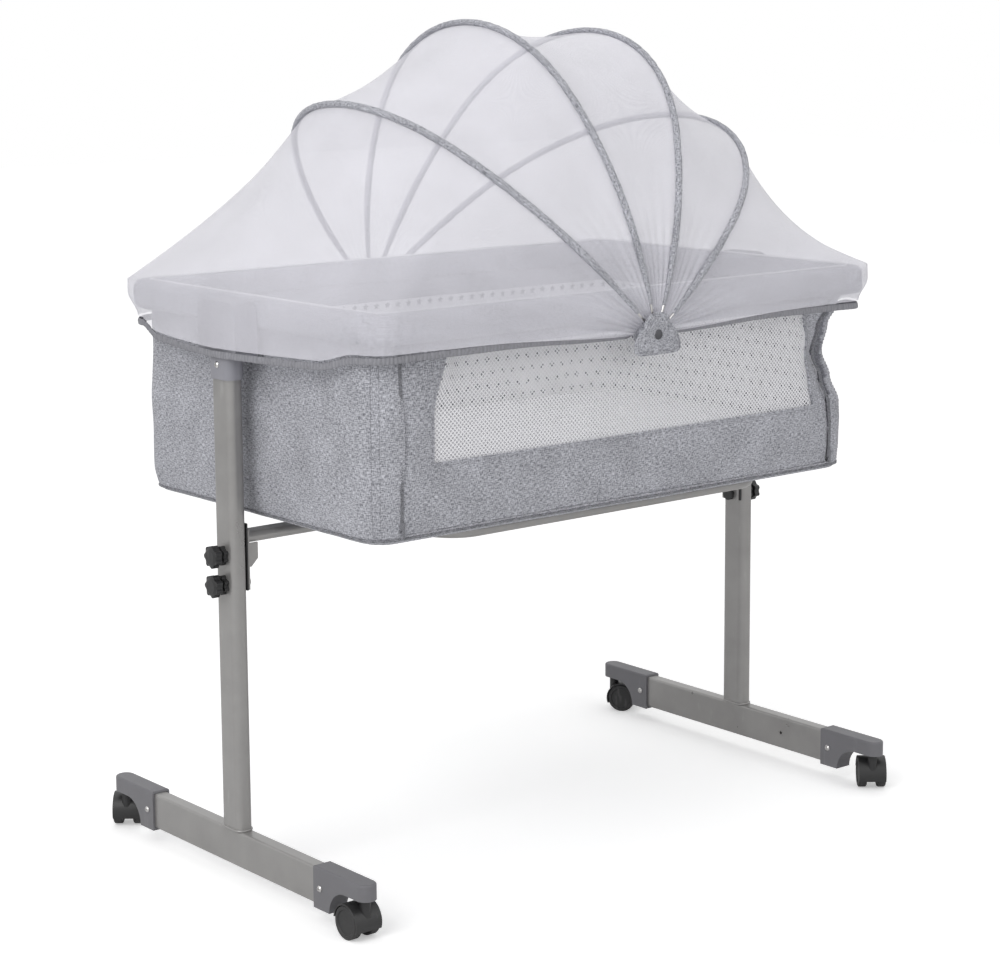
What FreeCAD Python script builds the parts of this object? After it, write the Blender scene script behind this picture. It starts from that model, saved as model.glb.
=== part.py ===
import FreeCAD, Part
import math
import os
import re

import Sketcher
from FreeCAD import Placement, Rotation, Vector

# A bedside sleeper crib: a cloth bassinet on two T-shaped legs with casters, under a net on four hoops.
# Millimetres. X runs along the bassinet, -Y is the side with the mesh window, +Z is up.
# The origin is on the floor, under the middle of the bassinet.

SIZES = {
    # the two T legs
    "post_gap": 7,              # from the rim's end to the post
    "post_width": 22,           # along X
    "post_depth": 40,           # along Y
    "post_corner": 9,           # radius of the post's long edges
    "tube_wall": 1.5,
    "foot_width": 19,
    "foot_height": 45,
    "foot_corner": 3,
    "foot_clearance": 21.5,     # from the floor to the underside of the foot tube
    "foot_reach": 276,          # from the middle to the tip of a toe cap
    "cap_length": 99,           # from a toe cap's tip to its inner end
    "cap_wall": 3,
    "cap_round": 2.5,           # radius along the cap's upper edge
    "cap_sleeve": 31,           # length of the cap's full-height part
    "arm_gap": 7,               # between the caster's hood and the cap's arm above it
    "fit_gap": 0.1,             # between a tube and the plastic around it
    "stem_inset": 14,           # from the toe's tip to the caster stem
    "tube_hole": 98,            # from the middle to the small hole in the right foot tube
    "tube_hole_radius": 2.2,
    "cap_screw_inset": 13,      # from the cap's inner end to its screw
    "screw_radius": 4,
    "screw_shank": 2,
    "screw_length": 5,
    "screw_dome": 2.4,          # height of the screw's head
    "screw_edge": 0.8,          # the upright part of the head's side
    "screw_bevel": 1.4,
    "slot_width": 0.8,
    "slot_depth": 1,
    # casters
    "wheel_radius": 20,
    "wheel_width": 11,
    "wheel_gap": 14.6,          # between the two wheels of a caster
    "wheel_rim": 4.5,           # the raised rim round a wheel's dished face
    "wheel_dish": 1.2,
    "wheel_bevel": 1,
    "axle_radius": 2.5,
    "axle_cover": 3,            # plastic beyond the axle's end
    "stem_radius": 4,
    "stem_trail": 15,           # from the stem to the axle, level with the floor
    "stem_rise": 9,             # from the axle's height to the stem's lower end
    "stem_play": 0.5,           # under the stem, in its bore
    "stem_grip": 12,            # length of stem inside the toe cap
    "stem_collar": 2,
    "running_gap": 0.05,        # between a pin and the bore that turns on it
    "hood_wall": 1.7,
    "hood_gap": 0.8,            # between the wheels and the hood
    "hood_skirt": 12,           # from the floor to the hood's lower edge
    "hood_back": 6,             # from the axle to where the hood's back is cut away
    # bassinet
    "rim_length": 816,
    "rim_depth": 536,
    "rim_corner": 40,
    "rim_top": 716.5,
    "rim_width": 30,
    "rim_height": 35.5,
    "rim_round": 12,            # radius of the padding's long edges
    "rim_tube_radius": 8,
    "body_end_inset": 16,       # from the rim's end to the cloth body's
    "body_side_inset": 23,
    "body_corner": 35,
    "body_fold": 8,             # radius along the bassinet's bottom edge
    "cloth": 3,                 # thickness of the padded cloth walls
    "seat_gap": 0.3,            # between soft pieces and what they rest on
    "panel_inset": 40,          # from the body's end to the drop panel's opening
    "panel_sill": 10.7,         # from the body's bottom to the opening
    "panel_head": 4.7,          # from the opening to the body's top
    "panel_gap": 0.5,
    "window_left_border": 46,   # from the opening's edge to the mesh window
    "window_right_border": 34,
    "window_sill": 79,
    "window_head": 10,
    "mesh_thickness": 1,
    "mesh_columns": 24,
    "mesh_rows": 12,
    "mesh_strand": 3,
    "zip_width": 5,
    "zip_thickness": 1.2,
    "lining": 1.2,
    "lining_opening": 40,       # from the body's front to the lining's front edges
    "board": 3,
    "mattress": 44,
    "mattress_gap": 3.5,        # from the mattress to the lining
    "mattress_crown": 3,        # how much higher its middle is than its edge
    "crown_slope": 44,          # how far in from the edge the crown mostly rises
    # what carries the bassinet
    "loop_end_inset": 124,      # from the body's end to the base loop
    "loop_side_inset": 29,
    "loop_corner": 45,
    "loop_radius": 7,
    "beam_width": 30,
    "beam_height": 13,
    "beam_bottom": 421,
    "beam_wall": 1.2,
    "strip": 2,
    "strip_width": 34,
    "strip_rise": 12,           # from the beam's top to the strip's
    "plate": 3.5,
    "plate_width": 30,
    "plate_rise": 3,            # from the beam's top to the plate's
    "plate_drop": 57,           # from the beam's underside to the plate's lower end
    "gusset_reach": 12,
    "gusset_height": 29,
    "gusset_slope": 9.6,
    "gusset": 2.5,
    "upper_bolt_drop": 13,      # from the beam's underside to the bolt
    "lower_bolt_drop": 49,
    "bolt_radius": 3,
    "bolt_head_radius": 6.5,
    "bolt_head": 2.5,
    "bolt_cap_radius": 8.5,
    "bolt_cap": 5,
    "bolt_play": 1,             # beyond the bolt's end, in the knob
    "knob_radius": 14,
    "knob_depth": 20,
    "knob_lobes": 7,
    "knob_notch": 2.4,          # depth of the hollows between the lobes
    "knob_collar": 6,
    "knob_collar_radius": 12,
    "knob_waist": 4,            # between the collar and the grip
    "knob_waist_radius": 7.7,
    "knob_crown": 1.5,
    "knob_floor": 3,            # plastic beyond the bolt's bore
    "bracket_wall": 2.5,
    "bracket_drop": 2.5,        # from the rim's top to the bracket's
    "bracket_head": 64,
    "bracket_sleeve": 29,
    "bracket_round": 16,
    "bracket_width": 80,
    "bracket_roof": 14,         # from the post's top to the bracket's
    "bracket_screw_rise": 17.5,
    # net canopy
    "hub_drop": 52.5,           # from the rim's top to the hub's axis
    "hub_offset": 16,           # from the rim's side to the first hoop's eyelet
    "hub_pitch": 1.4,           # one eyelet to the next, along the rivet
    "eyelet_radius": 9,
    "eyelet": 1.2,
    "rivet_radius": 2.9,
    "rivet_head_radius": 6.5,
    "hub_pad_radius": 20,
    "patch_gap": 1.4,           # from the last hoop's eyelet to the fan-shaped patch over the hub
    "patch_drop": 21,
    "patch_rise": 36,
    "patch_radius": 46,
    "wire_radius": 1.5,
    "wire_foot": 22,            # from the hub's axis to where the wire turns flat
    "sleeve_radius": 3.5,
    "sleeve_gap": 2,            # from the patch's edge to the end of a hoop's cloth sleeve
    "first_tilt": -43,
    "second_tilt": -9,
    "third_tilt": 22,
    "fourth_tilt": 51.5,
    "first_reach": 376,         # from the hub's axis to the top of the hoop
    "second_reach": 375,
    "third_reach": 385.5,
    "fourth_reach": 390,
    "first_shoulder": 54,       # how much tighter the hoop's top arc is than half its spread
    "second_shoulder": 50.4,
    "third_shoulder": 36.8,
    "fourth_shoulder": 18.2,
    "net": 0.8,
    "net_slack_share": 0.97,    # how far the net sinks between two hoops
    "hem_fall_tilt": 8.21,      # degrees from the rim's top edge to the net's edge
    "hem_band_tilt": 1.9,       # the elastic band, in degrees
    "hem_gap_tilt": 0.095,
    "hem_thickness": 1.6,
    "net_foot": 24,             # from the hub's axis to the net
    "net_hang": 5.5,            # from the rim to the net that hangs past it
}
# sizes that follow from the ones above, worked out in the same sheet
SUMS = {
    "cap_width": "foot_width + 2 * cap_wall",
    "cap_start": "foot_reach - cap_length",
    "cap_bottom": "foot_clearance - cap_wall",
    "cap_top": "foot_clearance + foot_height + cap_wall",
    "arm_bottom": "2 * wheel_radius + hood_gap + hood_wall + arm_gap",
    "screw_height": "foot_clearance + foot_height / 2",
    "stem_place": "foot_reach - stem_inset",
    "stem_low": "wheel_radius + stem_rise",
    "hood_web": "wheel_gap - 2 * hood_gap",
    "post_middle": "rim_length / 2 + post_gap + post_width / 2",
    "post_outer": "post_middle + post_width / 2",
    "post_inner": "post_middle - post_width / 2",
    "plate_outer": "post_inner - strip",
    "plate_inner": "plate_outer - plate",
    "beam_top": "beam_bottom + beam_height",
    "plate_top": "beam_top + plate_rise",
    "plate_bottom": "beam_bottom - plate_drop",
    "strip_top": "beam_top + strip_rise",
    "upper_bolt": "beam_bottom - upper_bolt_drop",
    "lower_bolt": "beam_bottom - lower_bolt_drop",
    "loop_height": "beam_top + loop_radius",
    "body_bottom": "loop_height + loop_radius + seat_gap",
    "body_top": "rim_top - rim_height - seat_gap",
    "body_length": "rim_length - 2 * body_end_inset",
    "body_depth": "rim_depth - 2 * body_side_inset",
    "floor_top": "body_bottom + cloth",
    "loop_length": "body_length - 2 * loop_end_inset",
    "loop_depth": "body_depth - 2 * loop_side_inset",
    "panel_length": "body_length - 2 * panel_inset",
    "panel_bottom": "body_bottom + panel_sill",
    "panel_top": "body_top - panel_head",
    "window_length": "panel_length - window_left_border - window_right_border",
    "window_shift": "(window_left_border - window_right_border) / 2",
    "window_bottom": "panel_bottom + window_sill",
    "window_height": "panel_top - window_head - window_bottom",
    "lining_front": "body_depth / 2 - lining_opening",
    "bracket_top": "rim_top - bracket_drop",
    "bracket_head_bottom": "bracket_top - bracket_head",
    "bracket_bottom": "bracket_head_bottom - bracket_sleeve",
    "bracket_screw": "bracket_bottom + bracket_screw_rise",
    "bracket_outer": "post_outer + bracket_wall",
    "post_top": "bracket_top - bracket_roof",
    "hub_height": "rim_top - hub_drop",
    "hub_spread": "rim_depth + 2 * hub_offset",
    "patch_reach": "hub_spread / 2 + 3 * hub_pitch + eyelet / 2 + patch_gap",
    "patch_bottom": "hub_height - patch_drop",
    "patch_top": "hub_height + patch_rise",
    "sleeve_foot": "patch_radius + sleeve_gap",
}
SIDES = {"left": -1, "right": 1}
ENDS = {"front": -1, "back": 1}
# which way each caster trails at rest, in degrees from +X towards +Y
TRAILS = {
    ("left", "front"): 90,
    ("left", "back"): 50,
    ("right", "front"): 50,
    ("right", "back"): -55,
}
HOOPS = ("first", "second", "third", "fourth")

# how much of the bracket's bulge the net's edge keeps halfway to the rim's corner
BULGE_SHARE = 0.7

doc = FreeCAD.newDocument("bedside_sleeper_crib")
sheet = doc.addObject("Spreadsheet::Sheet", "Sizes")
values = {**SIZES, **{alias: f"={sum_text}" for alias, sum_text in SUMS.items()}}
for row, (alias, value) in enumerate(values.items(), start=1):
    sheet.set(f"A{row}", alias.replace("_", " "))
    sheet.set(f"B{row}", str(value))
    sheet.setAlias(f"B{row}", alias)
doc.recompute()
pieces = []


def size(alias):
    """The number that the sheet holds under this alias."""
    return float(sheet.get(alias))


def rule(text):
    """The expression for a sum that is written with the sheet's aliases."""
    def name(word):
        return f"Sizes.{word.group()}" if word.group() in values else word.group()

    return re.sub(r"[a-z][a-z_]+", name, text)


def move(item, place):
    """Ties an object's place to the sheet."""
    for axis, text in zip("xyz", place):
        item.setExpression(f"Placement.Base.{axis}", rule(text))
    return item


def piece(item, label):
    """Marks an object as one of the crib's pieces and names its file."""
    item.Label = label
    pieces.append(item)
    return item


def box(name, corner, extent):
    """A box from its lowest corner and its extent."""
    item = doc.addObject("Part::Box", name)
    for side, text in zip(("Length", "Width", "Height"), extent):
        item.setExpression(side, rule(text))
    return move(item, corner)


def middle_box(name, middle, extent):
    """A box about its middle."""
    corner = [f"{place} - ({length}) / 2" for place, length in zip(middle, extent)]
    return box(name, corner, extent)


def rod(name, axis, start, length, radius):
    """A cylinder that runs from start towards the positive end of an axis."""
    item = doc.addObject("Part::Cylinder", name)
    item.setExpression("Radius", rule(radius))
    item.setExpression("Height", rule(length))
    turns = {"x": Rotation(Vector(0, 1, 0), 90), "y": Rotation(Vector(1, 0, 0), -90), "z": Rotation()}
    item.Placement = Placement(Vector(), turns[axis])
    return move(item, start)


def cut(name, base, *tools):
    """The base without its tools."""
    item = doc.addObject("Part::Cut", name)
    item.Base = base
    item.Tool = tools[0] if len(tools) == 1 else fuse(f"{name}_tools", *tools)
    return item


def fuse(name, *parts):
    """Several shapes as one solid."""
    item = doc.addObject("Part::MultiFuse", name)
    item.Shapes = list(parts)
    item.Refine = True
    return item


def common(name, *parts):
    """What several shapes share."""
    item = doc.addObject("Part::MultiCommon", name)
    item.Shapes = list(parts)
    return item


def group(name, *parts):
    """Separate solids kept in one node."""
    item = doc.addObject("Part::Compound", name)
    item.Links = list(parts)
    return item


def rounded(name, base, radius, chosen):
    """A fillet on the edges of base for which chosen(edge) is true."""
    doc.recompute()
    item = doc.addObject("Part::Fillet", name)
    item.Base = base
    edges = [number for number, edge in enumerate(base.Shape.Edges, start=1) if chosen(edge)]
    item.Edges = [(number, radius, radius) for number in edges]
    return item


def along(axis):
    """Chooses straight edges that run along an axis."""
    direction = {"x": Vector(1, 0, 0), "y": Vector(0, 1, 0), "z": Vector(0, 0, 1)}[axis]

    def chosen(edge):
        if edge.Curve.TypeId != "Part::GeomLine":
            return False
        return abs(edge.tangentAt(edge.FirstParameter).dot(direction)) > 0.999

    return chosen


def level(height):
    """Chooses edges that lie at one height."""

    def chosen(edge):
        bounds = edge.BoundBox
        return abs(bounds.ZMin - height) < 0.01 and abs(bounds.ZMax - height) < 0.01

    return chosen


def slab(name, length, depth, corner, bottom, height):
    """A block with rounded upright edges, centred on the Z axis."""
    blank = middle_box(f"{name}_blank", ("0", "0", f"{bottom} + ({height}) / 2"), (length, depth, height))
    return rounded(name, blank, corner, along("z"))


def turned(name, profile, place, rotation=Rotation()):
    """A body turned about its own Z axis from a profile of (radius, height) corners."""
    body = doc.addObject("PartDesign::Body", name)
    plane = next(item for item in body.Origin.OriginFeatures if item.Role == "XZ_Plane")
    sketch = body.newObject("Sketcher::SketchObject", f"{name}_profile")
    sketch.AttachmentSupport = (plane, [""])
    sketch.MapMode = "FlatFace"
    corners = [Vector(index + 1, index * index + 1, 0) for index in range(len(profile))]
    for start, end in zip(corners, corners[1:] + corners[:1]):
        sketch.addGeometry(Part.LineSegment(start, end), False)
    last = len(profile) - 1
    for index in range(len(profile)):
        before = last if index == 0 else index - 1
        sketch.addConstraint(Sketcher.Constraint("Coincident", before, 2, index, 1))
    for index, (radius, height) in enumerate(profile):
        for kind, text in (("DistanceX", radius), ("DistanceY", height)):
            number = sketch.addConstraint(Sketcher.Constraint(kind, -1, 1, index, 1, 1.0 + index))
            sketch.setExpression(f"Constraints[{number}]", rule(text))
    doc.recompute()
    turn = body.newObject("PartDesign::Revolution", f"{name}_turn")
    turn.Profile = sketch
    turn.ReferenceAxis = (sketch, ["V_Axis"])
    turn.Angle = 360
    body.Tip = turn
    body.Placement = Placement(Vector(), rotation)
    return move(body, place)


def mirrored(sign, inner, outer):
    """The lower end and the length, along one axis, of a stretch given from inner to outer on one side."""
    start = inner if sign > 0 else f"-({outer})"
    return start, f"({outer}) - ({inner})"


# ---------------------------------------------------------------- legs


def foot_tube(side):
    """The oval-cornered tube along the floor, open at both ends."""
    x = f"{SIDES[side]} * post_middle"
    middle = (x, "0", "foot_clearance + foot_height / 2")
    length = "2 * (cap_start + cap_sleeve - cap_wall)"
    outer = middle_box(f"{side}_foot_outer", middle, ("foot_width", length, "foot_height"))
    bore = ("foot_width - 2 * tube_wall", f"{length} + 2", "foot_height - 2 * tube_wall")
    inner = middle_box(f"{side}_foot_bore", middle, bore)
    corner = size("foot_corner")
    outer = rounded(f"{side}_foot_skin", outer, corner, along("y"))
    inner = rounded(f"{side}_foot_hollow", inner, corner - size("tube_wall"), along("y"))
    left_face = f"{x} - foot_width / 2 - 1"
    wall = "tube_wall + 1"
    holes = []
    for end, sign in ENDS.items():
        start = (left_face, f"{sign} * (cap_start + cap_screw_inset)", "screw_height")
        holes.append(rod(f"{side}_{end}_foot_screw_hole", "x", start, wall, "screw_shank"))
    if side == "right":
        start = (left_face, "-tube_hole", "screw_height")
        holes.append(rod("foot_side_hole", "x", start, wall, "tube_hole_radius"))
    piece(cut(f"{side}_foot", outer, inner, *holes), f"{side}_foot_tube")


def post(side):
    """The upright tube, with the holes for the two clamp bolts and the bracket's screw."""
    sign = SIDES[side]
    x = f"{sign} * post_middle"
    bottom = "foot_clearance + foot_height"
    middle = (x, "0", f"({bottom} + post_top) / 2")
    length = f"post_top - ({bottom})"
    outer = middle_box(f"{side}_post_outer", middle, ("post_width", "post_depth", length))
    bore = ("post_width - 2 * tube_wall", "post_depth - 2 * tube_wall", f"{length} + 2")
    inner = middle_box(f"{side}_post_bore", middle, bore)
    corner = size("post_corner")
    outer = rounded(f"{side}_post_skin", outer, corner, along("z"))
    inner = rounded(f"{side}_post_hollow", inner, corner - size("tube_wall"), along("z"))
    holes = [
        rod(f"{side}_{height}_hole", "x", (f"{x} - post_width / 2 - 1", "0", height), "post_width + 2",
            "bolt_radius + fit_gap")
        for height in ("upper_bolt", "lower_bolt")
    ]
    start, length = mirrored(sign, "post_outer - tube_wall - 1", "post_outer + 1")
    holes.append(rod(f"{side}_post_screw_hole", "x", (start, "0", "bracket_screw"), length, "screw_shank"))
    piece(cut(f"{side}_post_tube", outer, inner, *holes), f"{side}_post")


def toe_cap(side, end):
    """The plastic sleeve on a foot tube's end: full height over the tube, then an arm above the caster."""
    sign = ENDS[end]
    name = f"{side}_{end}_cap"
    x = f"{SIDES[side]} * post_middle"
    height = "cap_top - cap_bottom"
    nose = "(foot_reach - cap_width / 2)"
    start, length = mirrored(sign, "cap_start", nose)
    block = box(f"{name}_block", (f"{x} - cap_width / 2", start, "cap_bottom"), ("cap_width", length, height))
    tip = rod(f"{name}_tip", "z", (x, f"{sign} * {nose}", "cap_bottom"), height, "cap_width / 2")
    solid = fuse(f"{name}_solid", block, tip)
    solid = rounded(f"{name}_rounded", solid, size("cap_round"), level(size("cap_top")))
    drop = "(arm_bottom - cap_bottom)"
    arch_middle = f"(cap_start + cap_sleeve + {drop})"
    arch_start = (f"{x} - foot_width", f"{sign} * {arch_middle}", "cap_bottom")
    arch = rod(f"{name}_arch", "x", arch_start, "2 * foot_width", drop)
    start, length = mirrored(sign, arch_middle, "foot_reach + 1")
    under_corner = (f"{x} - foot_width", start, "cap_bottom - 1")
    under = box(f"{name}_under", under_corner, ("2 * foot_width", length, f"{drop} + 1"))
    start, length = mirrored(sign, "cap_start - 1", "cap_start + cap_sleeve - cap_wall + fit_gap")
    socket = box(
        f"{name}_socket",
        (f"{x} - foot_width / 2 - fit_gap", start, "foot_clearance - fit_gap"),
        ("foot_width + 2 * fit_gap", length, "foot_height + 2 * fit_gap"),
    )
    stem_bore = rod(
        f"{name}_stem_bore", "z", (x, f"{sign} * stem_place", "arm_bottom - 1"), "stem_grip + 1", "stem_radius"
    )
    screw_start = (f"{x} - cap_width / 2 - 1", f"{sign} * (cap_start + cap_screw_inset)", "screw_height")
    screw_hole = rod(f"{name}_screw_hole", "x", screw_start, "cap_wall + 2", "screw_shank")
    piece(cut(name, solid, arch, under, socket, stem_bore, screw_hole), f"{side}_{end}_toe_cap")


def screw(name, place, outward):
    """A domed cross-head screw whose head rests at place and faces outward along X."""
    profile = [
        ("0", "-screw_length"),
        ("screw_shank", "-screw_length"),
        ("screw_shank", "0"),
        ("screw_radius", "0"),
        ("screw_radius", "screw_edge"),
        ("screw_radius - screw_bevel", "screw_dome - screw_edge / 4"),
        ("0", "screw_dome"),
    ]
    blank = turned(f"{name}_blank", profile, place, Rotation(Vector(0, 1, 0), 90 * outward))
    floor = f"{place[0]} + {outward} * (screw_dome - slot_depth)"
    start = floor if outward > 0 else f"{floor} - 2 * slot_depth"
    slots = []
    for way, wide, tall in (("level", "screw_radius", "slot_width"), ("upright", "slot_width", "screw_radius")):
        corner = (start, f"{place[1]} - {wide} / 2", f"{place[2]} - {tall} / 2")
        slots.append(box(f"{name}_slot_{way}", corner, ("2 * slot_depth", wide, tall)))
    return cut(name, blank, *slots)


def stand_screws():
    """The four toe-cap screws and the two bracket screws."""
    heads = []
    for side, side_sign in SIDES.items():
        for end, sign in ENDS.items():
            x = f"{side_sign} * post_middle - cap_width / 2"
            y = f"{sign} * (cap_start + cap_screw_inset)"
            heads.append(screw(f"{side}_{end}_cap_screw", (x, y, "screw_height"), -1))
        place = (f"{side_sign} * bracket_outer", "0", "bracket_screw")
        heads.append(screw(f"{side}_bracket_screw", place, side_sign))
    piece(group("all_stand_screws", *heads), "stand_screws")


# ---------------------------------------------------------------- casters


def stem_spot(side, end):
    """Where a caster's stem stands."""
    return f"{SIDES[side]} * post_middle", f"{ENDS[end]} * stem_place"


def caster_stems():
    """The four steel pins, pressed into the toe caps, each with a collar under the cap."""
    collar = "arm_bottom - stem_collar"
    profile = [
        ("0", "stem_low"),
        ("stem_radius", "stem_low"),
        ("stem_radius", collar),
        ("stem_radius + stem_collar", collar),
        ("stem_radius + stem_collar", "arm_bottom"),
        ("stem_radius", "arm_bottom"),
        ("stem_radius", "arm_bottom + stem_grip"),
        ("0", "arm_bottom + stem_grip"),
    ]
    stems = [
        turned(f"{side}_{end}_stem", profile, (*stem_spot(side, end), "0")) for side in SIDES for end in ENDS
    ]
    piece(group("all_caster_stems", *stems), "caster_stems")


def caster_hood(side, end):
    """The hood over the twin wheels: a web between them, a fender round them and a boss on the stem."""
    name = f"{side}_{end}_hood"
    outer = "(wheel_radius + hood_gap + hood_wall)"
    width = "(wheel_gap + 2 * wheel_width)"
    drum = rod(f"{name}_drum", "x", (f"-{width} / 2", "stem_trail", "wheel_radius"), width, outer)
    pockets = []
    for label, start in (("near", f"-{width} / 2 - 1"), ("far", "hood_web / 2")):
        place = (start, "stem_trail", "wheel_radius")
        length = f"({width} - hood_web) / 2 + 1"
        pockets.append(rod(f"{name}_{label}_pocket", "x", place, length, "wheel_radius + hood_gap"))
    reach = f"2 * {outer}"
    low_corner = (f"-{reach}", f"-{reach}", f"-{reach}")
    below = box(f"{name}_below", low_corner, (f"2 * {reach}", f"3 * {reach}", f"hood_skirt + {reach}"))
    back_corner = (f"-{reach}", "stem_trail + hood_back", f"-{reach}")
    behind = box(f"{name}_behind", back_corner, (f"2 * {reach}", reach, f"1.5 * {reach}"))
    fender = cut(f"{name}_fender", drum, *pockets, below, behind)
    hub_start = ("-hood_web / 2", "stem_trail", "wheel_radius")
    hub = rod(f"{name}_hub", "x", hub_start, "hood_web", "3 * axle_radius")
    boss_low = "(stem_low - 2 * stem_play)"
    boss_height = f"arm_bottom - stem_collar - hood_gap / 2 - {boss_low}"
    boss = rod(f"{name}_boss", "z", ("0", "0", boss_low), boss_height, "hood_web / 2")
    solid = fuse(f"{name}_solid", fender, hub, boss)
    bore_radius = "stem_radius + running_gap"
    stem_bore = rod(f"{name}_stem_bore", "z", ("0", "0", "stem_low - stem_play"), "foot_height", bore_radius)
    bore_start = (f"-{width} / 2", "stem_trail", "wheel_radius")
    axle_bore = rod(f"{name}_axle_bore", "x", bore_start, width, "axle_radius + running_gap")
    hood = cut(name, solid, stem_bore, axle_bore)
    hood.Placement = Placement(Vector(), Rotation(Vector(0, 0, 1), TRAILS[side, end] - 90))
    piece(move(hood, (*stem_spot(side, end), "0")), f"{side}_{end}_caster_hood")


def caster_wheels(side, end):
    """The two wheels of a caster, dished outside, and the axle that they are pressed on."""
    name = f"{side}_{end}"
    trail = math.radians(TRAILS[side, end])
    x, y = stem_spot(side, end)
    turn = Rotation(Vector(0, 0, 1), TRAILS[side, end] - 90)
    across = turn.multVec(Vector(1, 0, 0))
    middle = (f"{x} + {math.cos(trail):.6f} * stem_trail", f"{y} + {math.sin(trail):.6f} * stem_trail")

    def beside(offset):
        ahead = f"{middle[0]} + {across.x:.6f} * {offset}"
        sideways = f"{middle[1]} + {across.y:.6f} * {offset}"
        return ahead, sideways, "wheel_radius"

    dish = "wheel_width - wheel_dish"
    rim = "(wheel_radius - wheel_rim)"
    profile = [
        ("axle_radius", "0"),
        ("wheel_radius - wheel_bevel", "0"),
        ("wheel_radius", "wheel_bevel"),
        ("wheel_radius", "wheel_width - wheel_bevel"),
        ("wheel_radius - wheel_bevel", "wheel_width"),
        (rim, "wheel_width"),
        (f"{rim} - wheel_bevel", dish),
        ("0", dish),
        ("0", "wheel_width - axle_cover"),
        ("axle_radius", "wheel_width - axle_cover"),
    ]
    wheels = [
        turned(f"{name}_{label}_wheel", profile, beside(f"({sign} * wheel_gap / 2)"),
               turn.multiply(Rotation(Vector(0, 1, 0), 90 * sign)))
        for label, sign in (("near", -1), ("far", 1))
    ]
    piece(group(f"{name}_wheel_pair", *wheels), f"{name}_caster_wheels")
    half = "(wheel_gap / 2 + wheel_width - axle_cover)"
    axle = rod(f"{name}_axle", "x", ("0", "0", "0"), f"2 * {half}", "axle_radius")
    axle.Placement = Placement(Vector(), turn.multiply(Rotation(Vector(0, 1, 0), 90)))
    piece(move(axle, beside(f"(-{half})")), f"{name}_caster_axle")


# ---------------------------------------------------------------- what joins the bassinet to the legs


def rim_bracket(side):
    """The plastic head on a post that holds the rim, with the sleeve below it round the post."""
    sign = SIDES[side]
    x = f"{sign} * post_middle"
    wide = "post_width + 2 * bracket_wall"
    deep = "post_depth + 2 * bracket_wall"
    sleeve_middle = (x, "0", "(bracket_bottom + bracket_head_bottom + 1) / 2")
    sleeve_extent = (wide, deep, "bracket_head_bottom + 1 - bracket_bottom")
    sleeve = middle_box(f"{side}_sleeve_blank", sleeve_middle, sleeve_extent)
    sleeve = rounded(f"{side}_sleeve", sleeve, size("post_corner") + size("bracket_wall"), along("z"))
    start, length = mirrored(sign, "rim_length / 2 + seat_gap", "bracket_outer")
    corner = (start, "-bracket_width / 2", "bracket_head_bottom")
    head = box(f"{side}_head_blank", corner, (length, "bracket_width", "bracket_top - bracket_head_bottom"))
    top = size("bracket_top")
    crown = size("bracket_round")
    head = rounded(f"{side}_head", head, crown, lambda edge: along("x")(edge) and level(top)(edge))
    solid = fuse(f"{side}_bracket_solid", sleeve, head)
    socket = middle_box(
        f"{side}_bracket_socket",
        (x, "0", "(bracket_bottom - 1 + post_top + fit_gap) / 2"),
        ("post_width + 2 * fit_gap", "post_depth + 2 * fit_gap", "post_top + fit_gap - bracket_bottom + 1"),
    )
    socket = rounded(f"{side}_bracket_hollow", socket, size("post_corner") + size("fit_gap"), along("z"))
    start, length = mirrored(sign, "post_outer", "bracket_outer + 1")
    hole = rod(f"{side}_bracket_screw_hole", "x", (start, "0", "bracket_screw"), length, "screw_shank")
    piece(cut(f"{side}_bracket", solid, socket, hole), f"{side}_rim_bracket")


def end_plate(side):
    """The steel plate on a post's inner face, with two gussets under the centre beam."""
    sign = SIDES[side]
    start, length = mirrored(sign, "plate_inner", "plate_outer")
    extent = (length, "plate_width", "plate_top - plate_bottom")
    flat = box(f"{side}_plate_flat", (start, "-plate_width / 2", "plate_bottom"), extent)
    start, length = mirrored(sign, "plate_inner - gusset_reach", "plate_inner")
    gussets = []
    for end, end_sign in ENDS.items():
        edge = f"{end_sign} * (plate_width / 2 - gusset / 2) - gusset / 2"
        corner = (start, edge, "beam_bottom - gusset_height")
        blank = box(f"{side}_{end}_gusset", corner, (length, "gusset", "gusset_height"))
        doc.recompute()
        low = size("beam_bottom") - size("gusset_height")
        tip = size("plate_inner") - size("gusset_reach")
        slope = doc.addObject("Part::Chamfer", f"{side}_{end}_gusset_slope")
        slope.Base = blank
        bevel = size("gusset_slope")
        slope.Edges = [
            (number, bevel, bevel)
            for number, edge in enumerate(blank.Shape.Edges, start=1)
            if level(low)(edge) and abs(edge.CenterOfMass.x - sign * tip) < 0.01
        ]
        gussets.append(slope)
    holes = []
    for height in ("upper_bolt", "lower_bolt"):
        start = (f"{sign} * plate_inner - plate - 1", "0", height)
        holes.append(rod(f"{side}_{height}_plate_hole", "x", start, "2 * plate + 2", "bolt_radius + fit_gap"))
    solid = fuse(f"{side}_plate_solid", flat, *gussets)
    piece(cut(f"{side}_plate", solid, *holes), f"{side}_end_plate")


def guide_strips():
    """The two black strips between a post and its end plate."""
    strips = []
    for side, sign in SIDES.items():
        start, length = mirrored(sign, "plate_outer", "post_inner")
        extent = (length, "strip_width", "strip_top - plate_bottom")
        flat = box(f"{side}_strip_flat", (start, "-strip_width / 2", "plate_bottom"), extent)
        holes = [
            rod(f"{side}_{height}_strip_hole", "x", (f"{sign} * plate_outer - strip - 1", "0", height),
                "2 * strip + 2", "bolt_radius + fit_gap")
            for height in ("upper_bolt", "lower_bolt")
        ]
        strips.append(cut(f"{side}_strip", flat, *holes))
    piece(group("all_guide_strips", *strips), "guide_strips")


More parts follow.
